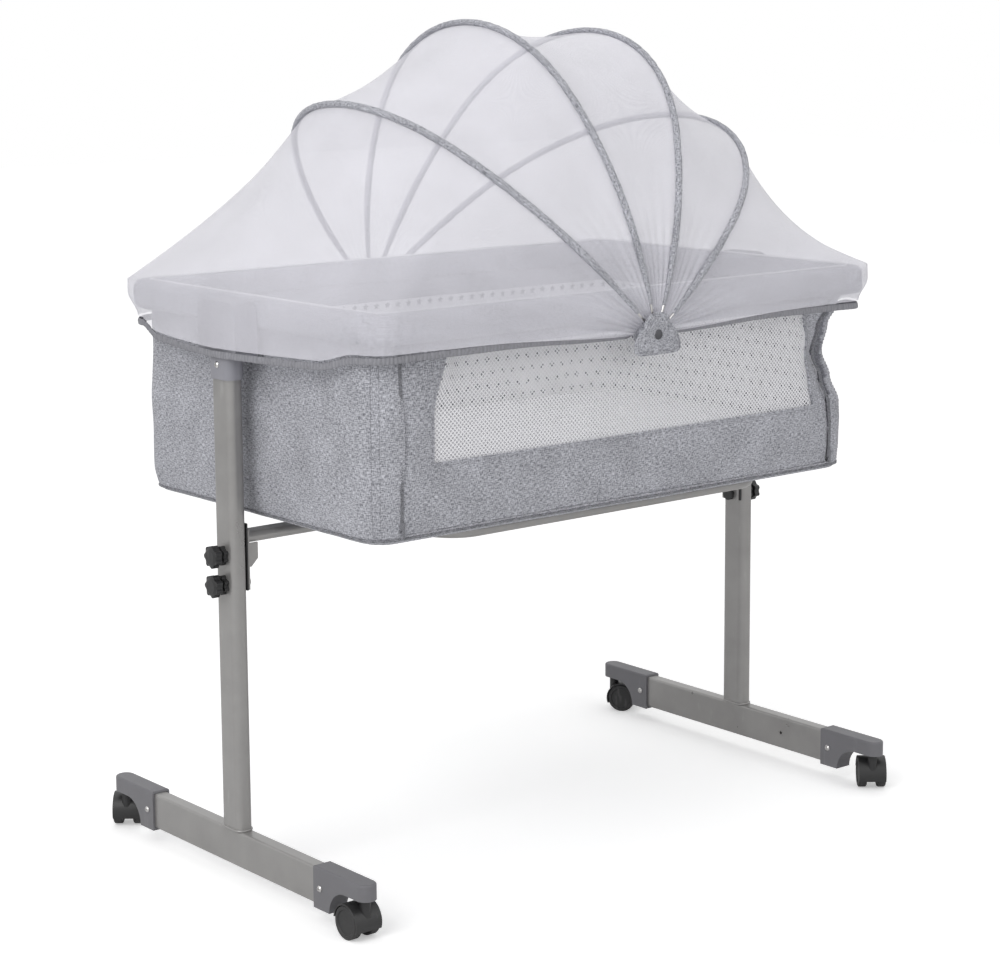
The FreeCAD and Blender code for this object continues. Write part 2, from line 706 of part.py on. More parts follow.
def clamp_bolts():
    """The four bolts through plate, strip and post, and the black caps over their heads."""
    solids = []
    for side, sign in SIDES.items():
        for height in ("upper_bolt", "lower_bolt"):
            name = f"{side}_{height}"
            start, length = mirrored(sign, "plate_inner", "post_outer + knob_depth - knob_floor - bolt_play")
            shank = rod(f"{name}_shank", "x", (start, "0", height), length, "bolt_radius")
            start, length = mirrored(sign, "plate_inner - bolt_head", "plate_inner")
            head = rod(f"{name}_head", "x", (start, "0", height), length, "bolt_head_radius")
            solids.append(fuse(f"{name}_bolt", shank, head))
            hollow = rod(f"{name}_cap_hollow", "x", (start, "0", height), length, "bolt_head_radius + fit_gap")
            start, length = mirrored(sign, "plate_inner - bolt_cap", "plate_inner")
            cap = rod(f"{name}_cap_blank", "x", (start, "0", height), length, "bolt_cap_radius")
            solids.append(cut(f"{name}_cap", cap, hollow))
    piece(group("all_clamp_bolts", *solids), "clamp_bolts")


def star_outline(radius):
    """A closed outline with round lobes, about the X axis."""
    lobes = int(size("knob_lobes"))
    notch = size("knob_notch")
    step = 2 * math.pi / lobes

    def point(turn, depth):
        return Vector(0, (radius - depth) * math.cos(turn), (radius - depth) * math.sin(turn))

    arcs = []
    for number in range(lobes):
        turn = number * step
        before = point(turn - step / 4, notch / 2)
        after = point(turn + step / 4, notch / 2)
        following = point(turn + step * 3 / 4, notch / 2)
        arcs.append(Part.Arc(before, point(turn, 0), after).toShape())
        arcs.append(Part.Arc(after, point(turn + step / 2, notch), following).toShape())
    return Part.Wire(arcs)


def knob(side, height):
    """A star knob: a lobed grip, a waist and a lobed collar against the post, round a blind bore."""
    sign = SIDES[side]
    ahead = Vector(1, 0, 0)
    collar_end = size("knob_collar")
    grip_start = collar_end + size("knob_waist")
    crown = size("knob_crown")
    crown_start = size("knob_depth") - crown
    waist_radius = size("knob_waist_radius")
    notched = size("knob_radius") - size("knob_notch")
    collar = Part.Face(star_outline(size("knob_collar_radius"))).extrude(ahead * collar_end)
    grip = Part.Face(star_outline(size("knob_radius"))).extrude(ahead * (crown_start - grip_start))
    grip.translate(ahead * grip_start)
    top = Part.makeCone(notched, waist_radius + crown / 2, crown, ahead * crown_start, ahead)
    waist = Part.makeCylinder(waist_radius, size("knob_waist"), ahead * collar_end, ahead)
    bore_depth = size("knob_depth") - size("knob_floor")
    bore = Part.makeCylinder(size("bolt_radius") + size("running_gap"), bore_depth, Vector(), ahead)
    shape = collar.fuse([waist, grip, top]).cut(bore)
    if sign < 0:
        shape = shape.mirror(Vector(), ahead)
    item = doc.addObject("Part::Feature", f"{side}_{height}_knob")
    item.Shape = shape
    move(item, (f"{sign} * (post_outer + fit_gap)", "0", f"{height}_bolt"))
    piece(item, f"{side}_{height}_knob")


def centre_beam():
    """The flat oval tube along the middle, from one end plate to the other."""
    length = "2 * plate_inner"
    middle = ("0", "0", "beam_bottom + beam_height / 2")
    outer = middle_box("beam_outer", middle, (length, "beam_width", "beam_height"))
    bore = (f"{length} + 2", "beam_width - 2 * beam_wall", "beam_height - 2 * beam_wall")
    inner = middle_box("beam_bore", middle, bore)
    corner = size("beam_height") / 2 - 0.2
    outer = rounded("beam_skin", outer, corner, along("x"))
    inner = rounded("beam_hollow", inner, corner - size("beam_wall"), along("x"))
    piece(cut("beam", outer, inner), "centre_beam")


def ring_path(length, depth, corner, height):
    """The middle line of a closed ring with round corners, level at one height."""
    x, y, r = length / 2, depth / 2, corner
    k = r * (1 - math.sqrt(0.5))
    edges = []
    for sx, sy in ((1, -1), (1, 1), (-1, 1), (-1, -1)):
        before = Vector(sx * (x - r), sy * y, height) if sx * sy < 0 else Vector(sx * x, sy * (y - r), height)
        after = Vector(sx * x, sy * (y - r), height) if sx * sy < 0 else Vector(sx * (x - r), sy * y, height)
        edges.append((before, Vector(sx * (x - k), sy * (y - k), height), after))
    wire = []
    for index, (before, corner_middle, after) in enumerate(edges):
        wire.append(Part.Arc(before, corner_middle, after).toShape())
        wire.append(Part.LineSegment(after, edges[(index + 1) % 4][0]).toShape())
    return Part.Wire(wire)


def swept(path, section):
    """The solid that a closed outline leaves along a path."""
    return path.makePipeShell([section], True, False)


def round_section(path, radius):
    """A circle square to the start of a path."""
    edge = path.Edges[0]
    start = edge.valueAt(edge.FirstParameter)
    return Part.Wire(Part.makeCircle(radius, start, edge.tangentAt(edge.FirstParameter)))


def oval_section(path, wide, tall, corner):
    """An upright rounded rectangle square to the start of a level path that starts along X."""
    edge = path.Edges[0]
    start = edge.valueAt(edge.FirstParameter)
    flat = ring_path(wide, tall, corner, 0)
    turn = Rotation(Vector(0, 1, 0), Vector(0, 0, 1), edge.tangentAt(edge.FirstParameter), "ZXY")
    flat.Placement = Placement(start, turn)
    return flat


def feature(name, shape, label):
    """A piece whose shape is worked out here from the sheet."""
    item = doc.addObject("Part::Feature", name)
    item.Shape = shape
    item.Placement = Placement()
    return piece(item, label)


def base_loop():
    """The round tube ring under the cloth floor, on top of the centre beam."""
    radius = size("loop_radius")
    length = size("loop_length") - 2 * radius
    depth = size("loop_depth") - 2 * radius
    path = ring_path(length, depth, size("loop_corner"), size("loop_height"))
    outer = swept(path, round_section(path, radius))
    inner = swept(path, round_section(path, radius - size("beam_wall")))
    feature("loop", outer.cut(inner), "base_loop_tube")


# ---------------------------------------------------------------- bassinet


def rim_path():
    """The middle line of the rim."""
    wide = size("rim_width")
    height = size("rim_top") - size("rim_height") / 2
    corner = size("rim_corner") - wide / 2
    return ring_path(size("rim_length") - wide, size("rim_depth") - wide, corner, height)


def rim_tube():
    """The steel ring that carries the bassinet's upper edge."""
    path = rim_path()
    radius = size("rim_tube_radius")
    outer = swept(path, round_section(path, radius))
    inner = swept(path, round_section(path, radius - size("tube_wall")))
    feature("rim_ring", outer.cut(inner), "rim_tube")


def rim_padding():
    """The soft cover round the rim tube."""
    path = rim_path()
    outer = swept(path, oval_section(path, size("rim_width"), size("rim_height"), size("rim_round")))
    inner = swept(path, round_section(path, size("rim_tube_radius") + size("seat_gap")))
    feature("rim_cover", outer.cut(inner), "rim_padding")


def bassinet_shell():
    """The cloth tub: walls and floor, with a hole in front for the drop panel."""
    height = "body_top - body_bottom"
    outer = slab("shell_outer", "body_length", "body_depth", size("body_corner"), "body_bottom", height)
    doc.recompute()
    low = outer.Shape.BoundBox.ZMin
    outer = rounded("shell_skin", outer, size("body_fold"), level(low))
    cloth = size("cloth")
    inner = slab(
        "shell_inner", "body_length - 2 * cloth", "body_depth - 2 * cloth", size("body_corner") - cloth,
        "floor_top", f"{height} + cloth",
    )
    doc.recompute()
    inner = rounded("shell_hollow", inner, size("body_fold") - cloth, level(low + cloth))
    hole = box(
        "panel_hole", ("-panel_length / 2", "-body_depth / 2 - 1", "panel_bottom"),
        ("panel_length", "cloth + 2", "panel_top - panel_bottom"),
    )
    piece(cut("shell", outer, inner, hole), "bassinet_shell")


def drop_panel():
    """The front side, which zips open and folds down, with the hole for its mesh window."""
    length = "panel_length - 2 * panel_gap"
    height = "panel_top - panel_bottom - 2 * panel_gap"
    corner = (f"-({length}) / 2", "-body_depth / 2", "panel_bottom + panel_gap")
    flat = box("panel_flat", corner, (length, "cloth", height))
    hole = box(
        "window_hole", ("window_shift - window_length / 2", "-body_depth / 2 - 1", "window_bottom"),
        ("window_length", "cloth + 2", "window_height"),
    )
    piece(cut("panel", flat, hole), "drop_panel")


def mesh_window():
    """The flat mesh in the drop panel: one face with a hole for each gap between its strands."""
    gap = size("seat_gap")
    length = size("window_length") - 2 * gap
    height = size("window_height") - 2 * gap
    left = size("window_shift") - length / 2
    low = size("window_bottom") + gap
    middle = -size("body_depth") / 2 + size("cloth") / 2
    front = middle - size("mesh_thickness") / 2
    columns = int(size("mesh_columns"))
    rows = int(size("mesh_rows"))
    strand = size("mesh_strand")
    pitch_x = (length - strand) / columns
    pitch_z = (height - strand) / rows

    def outline(x, z, wide, tall):
        corners = [(x, z), (x + wide, z), (x + wide, z + tall), (x, z + tall), (x, z)]
        return Part.makePolygon([Vector(cx, front, cz) for cx, cz in corners])

    wires = [outline(left, low, length, height)]
    for column in range(columns):
        for row in range(rows):
            x = left + strand + column * pitch_x
            z = low + strand + row * pitch_z
            wires.append(outline(x, z, pitch_x - strand, pitch_z - strand))
    face = Part.makeFace(wires, "Part::FaceMakerBullseye")
    feature("mesh", face.extrude(Vector(0, size("mesh_thickness"), 0)), "mesh_window")


def panel_zips():
    """The two zips along the drop panel's upright edges."""
    strips = []
    for side, sign in SIDES.items():
        start, length = mirrored(sign, "panel_length / 2 + seat_gap", "panel_length / 2 + seat_gap + zip_width")
        corner = (start, "-body_depth / 2 - fit_gap - zip_thickness", "panel_bottom + zip_width")
        extent = (length, "zip_thickness", "panel_top - panel_bottom - 2 * zip_width")
        strips.append(box(f"{side}_zip", corner, extent))
    piece(group("both_zips", *strips), "panel_zips")


def star_lining():
    """The printed lining inside the back wall and the two ends."""
    outer_gap = "2 * (cloth + seat_gap)"
    inner_gap = "2 * (cloth + seat_gap + lining)"
    bottom = "body_bottom + body_fold"
    height = f"body_top - ({bottom}) - seat_gap"
    corner = size("body_corner") - size("cloth") - size("seat_gap")
    length, depth = f"body_length - {outer_gap}", f"body_depth - {outer_gap}"
    outer = slab("lining_outer", length, depth, corner, bottom, height)
    inner = slab(
        "lining_inner", f"body_length - {inner_gap}", f"body_depth - {inner_gap}", corner - size("lining"),
        f"{bottom} - 1", f"{height} + 2",
    )
    front = box(
        "lining_open_front", ("-body_length / 2", "-body_depth / 2", f"{bottom} - 1"),
        ("body_length", "body_depth / 2 - lining_front", f"{height} + 2"),
    )
    piece(cut("lining", outer, inner, front), "star_lining")


def base_board():
    """The stiff board on the tub's floor."""
    gap = "2 * (body_fold + panel_gap)"
    corner = size("body_corner") - size("body_fold") - size("panel_gap")
    bottom = "floor_top + seat_gap"
    board = slab("floor_board", f"body_length - {gap}", f"body_depth - {gap}", corner, bottom, "board")
    piece(board, "base_board")


def mattress():
    """The mattress, with drawn-in sides and a slight crown."""
    wall = size("cloth") + size("seat_gap") + size("lining") + size("mattress_gap")
    length = size("body_length") - 2 * wall
    depth = size("body_depth") - 2 * wall
    corner = size("body_corner") - wall
    bottom = size("floor_top") + 2 * size("seat_gap") + size("board")
    thick = size("mattress")
    crown = size("mattress_crown")
    # each step: how far in from the widest outline, how high in the mattress's thickness
    steps = [(5, 0), (1.5, 0.1), (0, 0.3), (1.5, 0.55), (0, 0.8), (4, 0.95), (10, 1)]
    sections = [
        ring_path(length - 2 * inset, depth - 2 * inset, corner + 2 * inset, bottom + share * thick)
        for inset, share in steps
    ]
    for inset, share in ((size("crown_slope"), 0.7), (2.5 * size("crown_slope"), 1)):
        height = bottom + thick + share * crown
        sections.append(ring_path(length - 2 * inset, depth - 2 * inset, corner + inset / 2, height))
    feature("mattress_pad", Part.makeLoft(sections, True, True), "mattress")


# ---------------------------------------------------------------- net canopy


def hoop_outline(hoop, inset, foot):
    """Thirteen points (across, out from the hub's axis) along a hoop, moved inwards by inset.

    Two side arcs stand square on the hub's axis, and the crown arc is tangent to both. Points two apart
    are the ends of an arc, and the point between them is on it.
    """
    half = size("hub_spread") / 2 + HOOPS.index(hoop) * size("hub_pitch") - inset
    reach = size(f"{hoop}_reach") - inset
    crown = half - size(f"{hoop}_shoulder")
    flank = (half**2 + (reach - crown) ** 2 - crown**2) / (2 * (half - crown))
    lowest = math.asin(foot / flank)
    shoulder = math.asin((reach - crown) / (flank - crown))
    points = []
    for turn in (lowest, (lowest + shoulder) / 2, shoulder):
        points.append((half - flank + flank * math.cos(turn), flank * math.sin(turn)))
    for share in (0.1, 0.2, 0.6, 1):
        turn = shoulder + share * (math.pi / 2 - shoulder)
        points.append((crown * math.cos(turn), reach - crown + crown * math.sin(turn)))
    return points + [(-across, out) for across, out in reversed(points[:-1])]


def rim_outline(tilt, inset, foot):
    """Thirteen points like a hoop's, round half the rim and over the bracket, in a plane at this tilt."""
    hang = size("net_hang") - inset
    lean = math.sin(math.radians(abs(tilt)))
    half = size("rim_depth") / 2 + hang
    ahead = (size("rim_length") / 2 + hang) / lean
    corner = size("rim_corner") + hang
    nose = (size("bracket_outer") + hang) / lean
    round_inset = corner * (1 - math.sqrt(0.5))
    points = [
        (half, foot),
        (half, (foot + ahead - corner) / 2),
        (half, ahead - corner),
        (half - round_inset, ahead - round_inset),
        (half - corner, ahead),
        ((half - corner) / 2, ahead + BULGE_SHARE * (nose - ahead)),
        (0, nose),
    ]
    return points + [(-across, out) for across, out in reversed(points[:-1])]


def fan(outline, tilt, shift=0):
    """An outline's points in a plane through the hub's axis, tilted towards +X and moved square to itself."""
    turn = math.radians(tilt)
    return [
        Vector(
            out * math.sin(turn) + shift * math.cos(turn),
            across,
            size("hub_height") + out * math.cos(turn) - shift * math.sin(turn),
        )
        for across, out in outline
    ]


def curve(start, middle, end):
    """The arc through three points, or the line if they are in one."""
    bend = (middle - start).cross(end - middle).Length
    if bend < 1e-3 * (end - start).Length:
        return Part.LineSegment(start, end).toShape()
    return Part.Arc(start, middle, end).toShape()


def curves(points):
    """The six curves along thirteen points."""
    return [curve(*points[index : index + 3]) for index in range(0, len(points) - 1, 2)]


def net_section(outer, inner):
    """The closed outline of a cloth's cut edge."""
    joint = Part.LineSegment(outer[-1], inner[-1]).toShape()
    back = Part.LineSegment(inner[0], outer[0]).toShape()
    return Part.Wire(curves(outer) + [joint] + curves(inner[::-1]) + [back])


def hang(start, end, share):
    """Points between two outlines, drawn towards the hub's axis as slack cloth is."""
    slack = 1 - (1 - size("net_slack_share")) * math.sin(math.pi * share)
    points = []
    for first, second in zip(start, end):
        point = first + (second - first) * share
        height = size("hub_height") + (point.z - size("hub_height")) * slack
        points.append(Vector(point.x * slack, point.y, height))
    return points


def net_layers(hoop, shift):
    """The net's two faces along a hoop, just inside its sleeve."""
    inset = size("sleeve_radius") + size("seat_gap")
    return [
        fan(hoop_outline(hoop, inset + layer, size("net_foot")), size(f"{hoop}_tilt"), shift)
        for layer in (0, size("net"))
    ]


def net_panel(first, second, label):
    """The net between two hoops, slack in the middle."""
    gap = size("seat_gap") / 2
    start = net_layers(first, gap)
    end = net_layers(second, -gap)
    middle = [hang(here, there, 0.5) for here, there in zip(start, end)]
    sections = [net_section(*start), net_section(*middle), net_section(*end)]
    feature(f"{label}_cloth", Part.makeLoft(sections, True, True), label)


def rim_layers(tilt, sign, layers):
    """Faces round the rim at one tilt, each moved inwards by its own share."""
    return [fan(rim_outline(tilt, layer, size("net_foot")), sign * tilt) for layer in layers]


def edge_tilt():
    """The tilt at which the net turns over the rim's edge."""
    ahead = size("rim_length") / 2 + size("net_hang")
    return math.degrees(math.atan2(ahead, size("rim_top") + size("net_hang") / 2 - size("hub_height")))


def hem_tilt():
    """The tilt of the net's edge above the elastic."""
    return edge_tilt() + size("hem_fall_tilt")


def net_skirt(side, hoop):
    """The net from the outermost hoop down to the rim and over it."""
    sign = SIDES[side]
    layers = (0, size("net"))
    start = net_layers(hoop, sign * size("seat_gap") / 2)
    edge = rim_layers(edge_tilt(), sign, layers)
    hem = rim_layers(hem_tilt(), sign, layers)
    falls = [[hang(here, there, share) for here, there in zip(start, edge)] for share in (1 / 3, 2 / 3)]
    sections = [net_section(*both) for both in (start, *falls, edge, hem)]
    feature(f"{side}_skirt_cloth", Part.makeLoft(sections, True, True), f"net_{side}_skirt")


def net_hem(side):
    """The elastic band along one half of the net's edge."""
    sign = SIDES[side]
    layers = (size("net") - size("hem_thickness"), size("net"))
    tilts = (hem_tilt() + size("hem_gap_tilt"), hem_tilt() + size("hem_band_tilt"))
    sections = [net_section(*rim_layers(tilt, sign, layers)) for tilt in tilts]
    feature(f"{side}_hem_band", Part.makeLoft(sections, True, True), f"net_{side}_hem")


def hoop_pipe(hoop, foot, radius):
    """A round bar along a hoop's middle line, upright on the hub's axis."""
    points = [Vector(0, across, out) for across, out in hoop_outline(hoop, 0, foot)]
    path = Part.Wire(curves(points))
    return swept(path, round_section(path, radius))


def tilted(name, shape, hoop, label):
    """A hoop's piece, made upright and then tilted about the hub's axis."""
    item = doc.addObject("Part::Feature", name)
    item.Shape = shape
    item.Placement = Placement(Vector(), Rotation(Vector(0, 1, 0), size(f"{hoop}_tilt")))
    piece(move(item, ("0", "0", "hub_height")), label)


def hoop_sleeve(hoop):
    """The cloth tube round a hoop's wire."""
    foot = size("sleeve_foot")
    outer = hoop_pipe(hoop, foot, size("sleeve_radius"))
    inner = hoop_pipe(hoop, foot, size("wire_radius") + 2 * size("fit_gap"))
    tilted(f"{hoop}_sleeve", outer.cut(inner), hoop, f"{hoop}_hoop_sleeve")


def hoop_wire(hoop):
    """The spring wire, with a flattened end and an eyelet at each foot."""
    shape = hoop_pipe(hoop, size("wire_foot"), size("wire_radius"))
    middle = size("hub_spread") / 2 + HOOPS.index(hoop) * size("hub_pitch")
    thick = size("eyelet")
    for sign in ENDS.values():
        low = Vector(0, sign * middle - thick / 2, 0)
        disc = Part.makeCylinder(size("eyelet_radius"), thick, low, Vector(0, 1, 0))
        half = size("wire_radius") - size("fit_gap")
        tab = Part.makeBox(2 * half, thick, size("wire_foot") + 3 * half, low - Vector(half, 0, 0))
        hole = Part.makeCylinder(size("rivet_radius") + size("fit_gap"), thick, low, Vector(0, 1, 0))
        shape = shape.fuse([disc, tab]).cut(hole)
    tilted(f"{hoop}_wire", shape, hoop, f"{hoop}_hoop_wire")


def hub_patches():
    """On each side the round pad under the eyelets and the fan-shaped patch over them."""
    solids = []
    hole_radius = "rivet_radius + fit_gap"
    for end, sign in ENDS.items():
        start, length = mirrored(sign, "rim_depth / 2 + seat_gap", "hub_spread / 2 - hub_pitch")
        pad = rod(f"{end}_pad_disc", "y", ("0", start, "hub_height"), length, "hub_pad_radius")
        hole = rod(f"{end}_pad_hole", "y", ("0", start, "hub_height"), length, hole_radius)
        solids.append(cut(f"{end}_pad", pad, hole))
        start, length = mirrored(sign, "patch_reach", "patch_reach + lining")
        disc = rod(f"{end}_patch_disc", "y", ("0", start, "hub_height"), length, "patch_radius")
        corner = ("-patch_radius", start, "patch_bottom")
        band = box(f"{end}_patch_band", corner, ("2 * patch_radius", length, "patch_top - patch_bottom"))
        hole = rod(f"{end}_patch_hole", "y", ("0", start, "hub_height"), length, hole_radius)
        solids.append(cut(f"{end}_patch", common(f"{end}_patch_fan", disc, band), hole))
    piece(group("all_hub_patches", *solids), "hub_patches")


def hub_rivets():
    """The rivet on each side that all four hoops turn on."""
    inner = "rim_depth / 2 + 2 * seat_gap"
    outer = "patch_reach + lining + fit_gap"
    profile = [
        ("0", inner),
        ("rivet_radius", inner),
        ("rivet_radius", outer),
        ("rivet_head_radius", outer),
        ("rivet_head_radius - 1", f"{outer} + eyelet"),
        ("0", f"{outer} + 1.5 * eyelet"),
    ]
    rivets = [
        turned(f"{end}_rivet", profile, ("0", "0", "hub_height"), Rotation(Vector(1, 0, 0), -90 * sign))
        for end, sign in ENDS.items()
    ]
    piece(group("both_rivets", *rivets), "hub_rivets")


# ---------------------------------------------------------------- the whole crib

for side in SIDES:
    foot_tube(side)
    post(side)
    for end in ENDS:
        toe_cap(side, end)
        caster_hood(side, end)
        caster_wheels(side, end)
    rim_bracket(side)
    end_plate(side)
    for height in ("upper", "lower"):
        knob(side, height)
stand_screws()
caster_stems()
guide_strips()
clamp_bolts()
centre_beam()
base_loop()
rim_tube()
rim_padding()
bassinet_shell()
drop_panel()
mesh_window()
panel_zips()
star_lining()
base_board()
mattress()
for hoop in HOOPS:
    hoop_sleeve(hoop)
    hoop_wire(hoop)
hub_patches()
hub_rivets()
net_skirt("left", "first")
for first, second in zip(HOOPS, HOOPS[1:]):
    net_panel(first, second, f"net_{first}_panel")
net_skirt("right", "fourth")
for side in SIDES:
    net_hem(side)

doc.recompute()
for item in doc.Objects:
    if "Invalid" in item.State or "Error" in item.State:
        raise RuntimeError(f"{item.Name} failed: {item.State}")
for item in pieces:
    if item.Shape.isNull() or not item.Shape.isValid() or not item.Shape.Solids:
        raise RuntimeError(f"{item.Label} has no sound solid")
os.makedirs("parts", exist_ok=True)
for item in pieces:
    item.Shape.exportStep(f"parts/{item.Label}.step")
print(f"{len(pieces)} pieces written")
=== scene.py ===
"""Dresses the bedside sleeper crib's frame: padded cloth, mesh, a net on four hoops, paint and plastic."""
import math

import bpy
from bpy.props import FloatProperty, FloatVectorProperty, IntProperty
from mathutils import Matrix, Vector, noise


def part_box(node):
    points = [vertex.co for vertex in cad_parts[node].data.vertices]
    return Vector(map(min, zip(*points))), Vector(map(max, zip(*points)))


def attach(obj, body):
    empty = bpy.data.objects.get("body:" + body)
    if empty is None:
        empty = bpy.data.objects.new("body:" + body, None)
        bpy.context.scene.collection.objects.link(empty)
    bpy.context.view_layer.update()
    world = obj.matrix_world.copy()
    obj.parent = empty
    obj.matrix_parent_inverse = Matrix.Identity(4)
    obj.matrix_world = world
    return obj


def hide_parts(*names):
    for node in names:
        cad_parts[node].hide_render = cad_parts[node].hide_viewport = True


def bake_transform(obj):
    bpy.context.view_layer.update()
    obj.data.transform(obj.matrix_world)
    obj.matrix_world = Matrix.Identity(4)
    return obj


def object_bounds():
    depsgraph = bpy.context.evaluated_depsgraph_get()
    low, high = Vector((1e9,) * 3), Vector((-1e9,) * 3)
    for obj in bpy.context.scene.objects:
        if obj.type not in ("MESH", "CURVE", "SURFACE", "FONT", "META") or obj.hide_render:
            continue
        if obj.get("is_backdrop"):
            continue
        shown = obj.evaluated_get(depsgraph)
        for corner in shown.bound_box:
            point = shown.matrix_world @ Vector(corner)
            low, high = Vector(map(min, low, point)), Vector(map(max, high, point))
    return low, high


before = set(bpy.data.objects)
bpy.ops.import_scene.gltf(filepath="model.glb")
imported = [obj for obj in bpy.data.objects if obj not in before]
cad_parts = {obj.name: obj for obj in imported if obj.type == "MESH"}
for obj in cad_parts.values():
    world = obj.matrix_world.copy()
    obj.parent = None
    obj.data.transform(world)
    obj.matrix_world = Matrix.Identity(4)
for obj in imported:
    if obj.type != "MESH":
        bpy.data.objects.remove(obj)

CAD_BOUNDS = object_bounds()

bl_info = {
    "name": "Bedside sleeper crib",
    "version": (1, 0, 0),
    "blender": (4, 5, 0),
    "location": "3D View > Sidebar > Crib",
    "description": "Models the cloth, net and finishes of a bedside sleeper crib on its frame",
    "category": "Object",
}

# The sizes below are the frame's own, in metres and degrees.
RIM = {"length": 0.816, "depth": 0.536, "corner": 0.040, "top": 0.7165, "width": 0.030, "height": 0.0355}
BODY = {"length": 0.784, "depth": 0.490, "corner": 0.035, "bottom": 0.4483, "top": 0.6807}
HOLE = {"half": 0.352, "bottom": 0.459, "top": 0.676}
WINDOW = {"left": -0.3067, "right": 0.3207, "bottom": 0.538, "top": 0.666}
BRACKET_FACE = 0.4395
HUB_HEIGHT = 0.664
HUB_SPREAD = 0.568
HUB_PITCH = 0.0014
HOOPS = {
    "first": {"tilt": -43.0, "reach": 0.376, "crown": 0.230},
    "second": {"tilt": -9.0, "reach": 0.375, "crown": 0.235},
    "third": {"tilt": 22.0, "reach": 0.3855, "crown": 0.250},
    "fourth": {"tilt": 51.5, "reach": 0.390, "crown": 0.270},
}
SIDES = {"left": -1, "right": 1}
ENDS = {"front": -1, "back": 1}
NET_FOOT = 0.024
NET_HANG = 0.0055
NET_SLACK = 0.97
HEM_TILT = 90.6
HEM_BAND = 1.9
CLOTH = 0.003

# These are the cloth's own, as the photograph shows it round the frame.
SLEEVE_FOOT = 0.034
SLEEVE_RADIUS = 0.0040
SEWN_IN = 0.003
HEM_LIFT = 0.011
HEM_TUCK = 0.0125
HEM_LENGTH = 1.32
NET_INSET = 0.0026
PATCH_FACE = 0.2912
# How far stitches keep from the edge or the seam that they hold.
SEAM_MARGIN = 0.004

# Points nearer than this are one point.
SAME_PLACE = 0.00003
# From one stitch to the next, in stitch lengths.
STITCH_STEP = 1.5
MIDDLE = Vector((0, 0, 0.57))
UP = Vector((0, 0, 1))


def metres(label, text, value):
    """A length that a user can change."""
    return FloatProperty(name=label, description=text, default=value, min=0, unit="LENGTH", precision=5)


def colour(label, text, value):
    """A colour that a user can change."""
    return FloatVectorProperty(name=label, description=text, default=value, min=0, max=1, subtype="COLOR")


class CribSizes(bpy.types.PropertyGroup):
    """Sizes of the crib's soft parts"""

    wrinkle: metres("Wrinkle", "Depth of the cloth's broad wrinkles", 0.0032)
    crease: metres("Crease", "Depth of the cloth's small creases", 0.0009)
    bulge: metres("Bulge", "How far the cloth walls swell between their seams", 0.0035)
    seam: metres("Seam", "Depth of the sewn corner seams", 0.0014)
    piping: metres("Piping", "Radius of the piping along the body's bottom edge", 0.0017)
    stitch: metres("Stitch", "Length of one stitch", 0.0032)
    fleck: metres("Fleck", "Width of the flecks in the grey cloth", 0.0012)
    thread: metres("Thread", "Spacing of the woven threads", 0.0011)
    star_pitch: metres("Star pitch", "Spacing of the printed stars", 0.0185)
    mesh_pitch: metres("Mesh pitch", "Spacing of the holes in the mesh window", 0.0056)
    net_pitch: metres("Net pitch", "Spacing of the holes in the net", 0.0012)
    gather: metres("Gather", "Depth of the gathers above the elastic", 0.0028)
    gather_pitch: metres("Gather pitch", "Spacing of the gathers along the elastic", 0.017)
    pleat: metres("Pleat", "Depth of the net's pleats at the hub", 0.0032)
    tooth: metres("Tooth", "Spacing of the zip's teeth", 0.003)
    quilt: metres("Quilt", "Spacing of the mattress's sewn lines", 0.085)
    pleats: IntProperty(name="Pleats", description="Pleats in each net panel at the hub", default=3, min=1)


class CribColours(bpy.types.PropertyGroup):
    """Colours of the crib's finishes"""

    cloth_light: colour("Light thread", "The grey cloth's lighter threads", (0.60, 0.605, 0.655))
    cloth_dark: colour("Dark thread", "The grey cloth's darker threads", (0.165, 0.168, 0.190))
    lining: colour("Lining", "The white lining", (0.91, 0.91, 0.93))
    star: colour("Star", "The printed stars", (0.20, 0.20, 0.23))
    mesh: colour("Mesh", "The mesh window", (0.95, 0.945, 0.97))
    net: colour("Net", "The sheer net", (0.84, 0.83, 0.90))
    elastic: colour("Elastic", "The hem's elastic", (0.33, 0.33, 0.36))
    paint: colour("Paint", "The steel tubes' paint", (0.325, 0.318, 0.312))
    end_plastic: colour("End plastic", "The toe caps", (0.165, 0.163, 0.175))
    bracket: colour("Bracket", "The brackets that hold the rim", (0.265, 0.265, 0.295))
    black_plastic: colour("Black plastic", "The knobs, strips and caster hoods", (0.016, 0.016, 0.017))
    wheel: colour("Wheel", "The casters' wheels", (0.018, 0.018, 0.019))
    steel: colour("Steel", "Screws, pins and hoop wires", (0.62, 0.61, 0.60))
    rivet: colour("Rivet", "The rivets at the hubs", (0.12, 0.12, 0.13))
    board: colour("Board", "The stiff board under the mattress", (0.42, 0.33, 0.23))


# ---------------------------------------------------------------- modelling helpers


def deselect():
    """Leaves nothing selected, the frame's nodes included."""
    bpy.ops.object.select_all(action="DESELECT")


def activate(piece):
    """Makes one piece the only selected and active one."""
    deselect()
    piece.select_set(True)
    bpy.context.view_layer.objects.active = piece


def edit(piece, *steps):
    """Runs edit-mode steps on the whole of a piece."""
    activate(piece)
    bpy.ops.object.mode_set(mode="EDIT")
    bpy.ops.mesh.select_all(action="SELECT")
    for step in steps:
        step()
    bpy.ops.object.mode_set(mode="OBJECT")


def merge_doubles(piece):
    """Joins the points that share a place."""
    edit(piece, lambda: bpy.ops.mesh.remove_doubles(threshold=SAME_PLACE))


def close_seams(piece):
    """Joins the edges that meet and turns every face outwards."""
    merge_doubles(piece)
    edit(piece, lambda: bpy.ops.mesh.normals_make_consistent(inside=False))


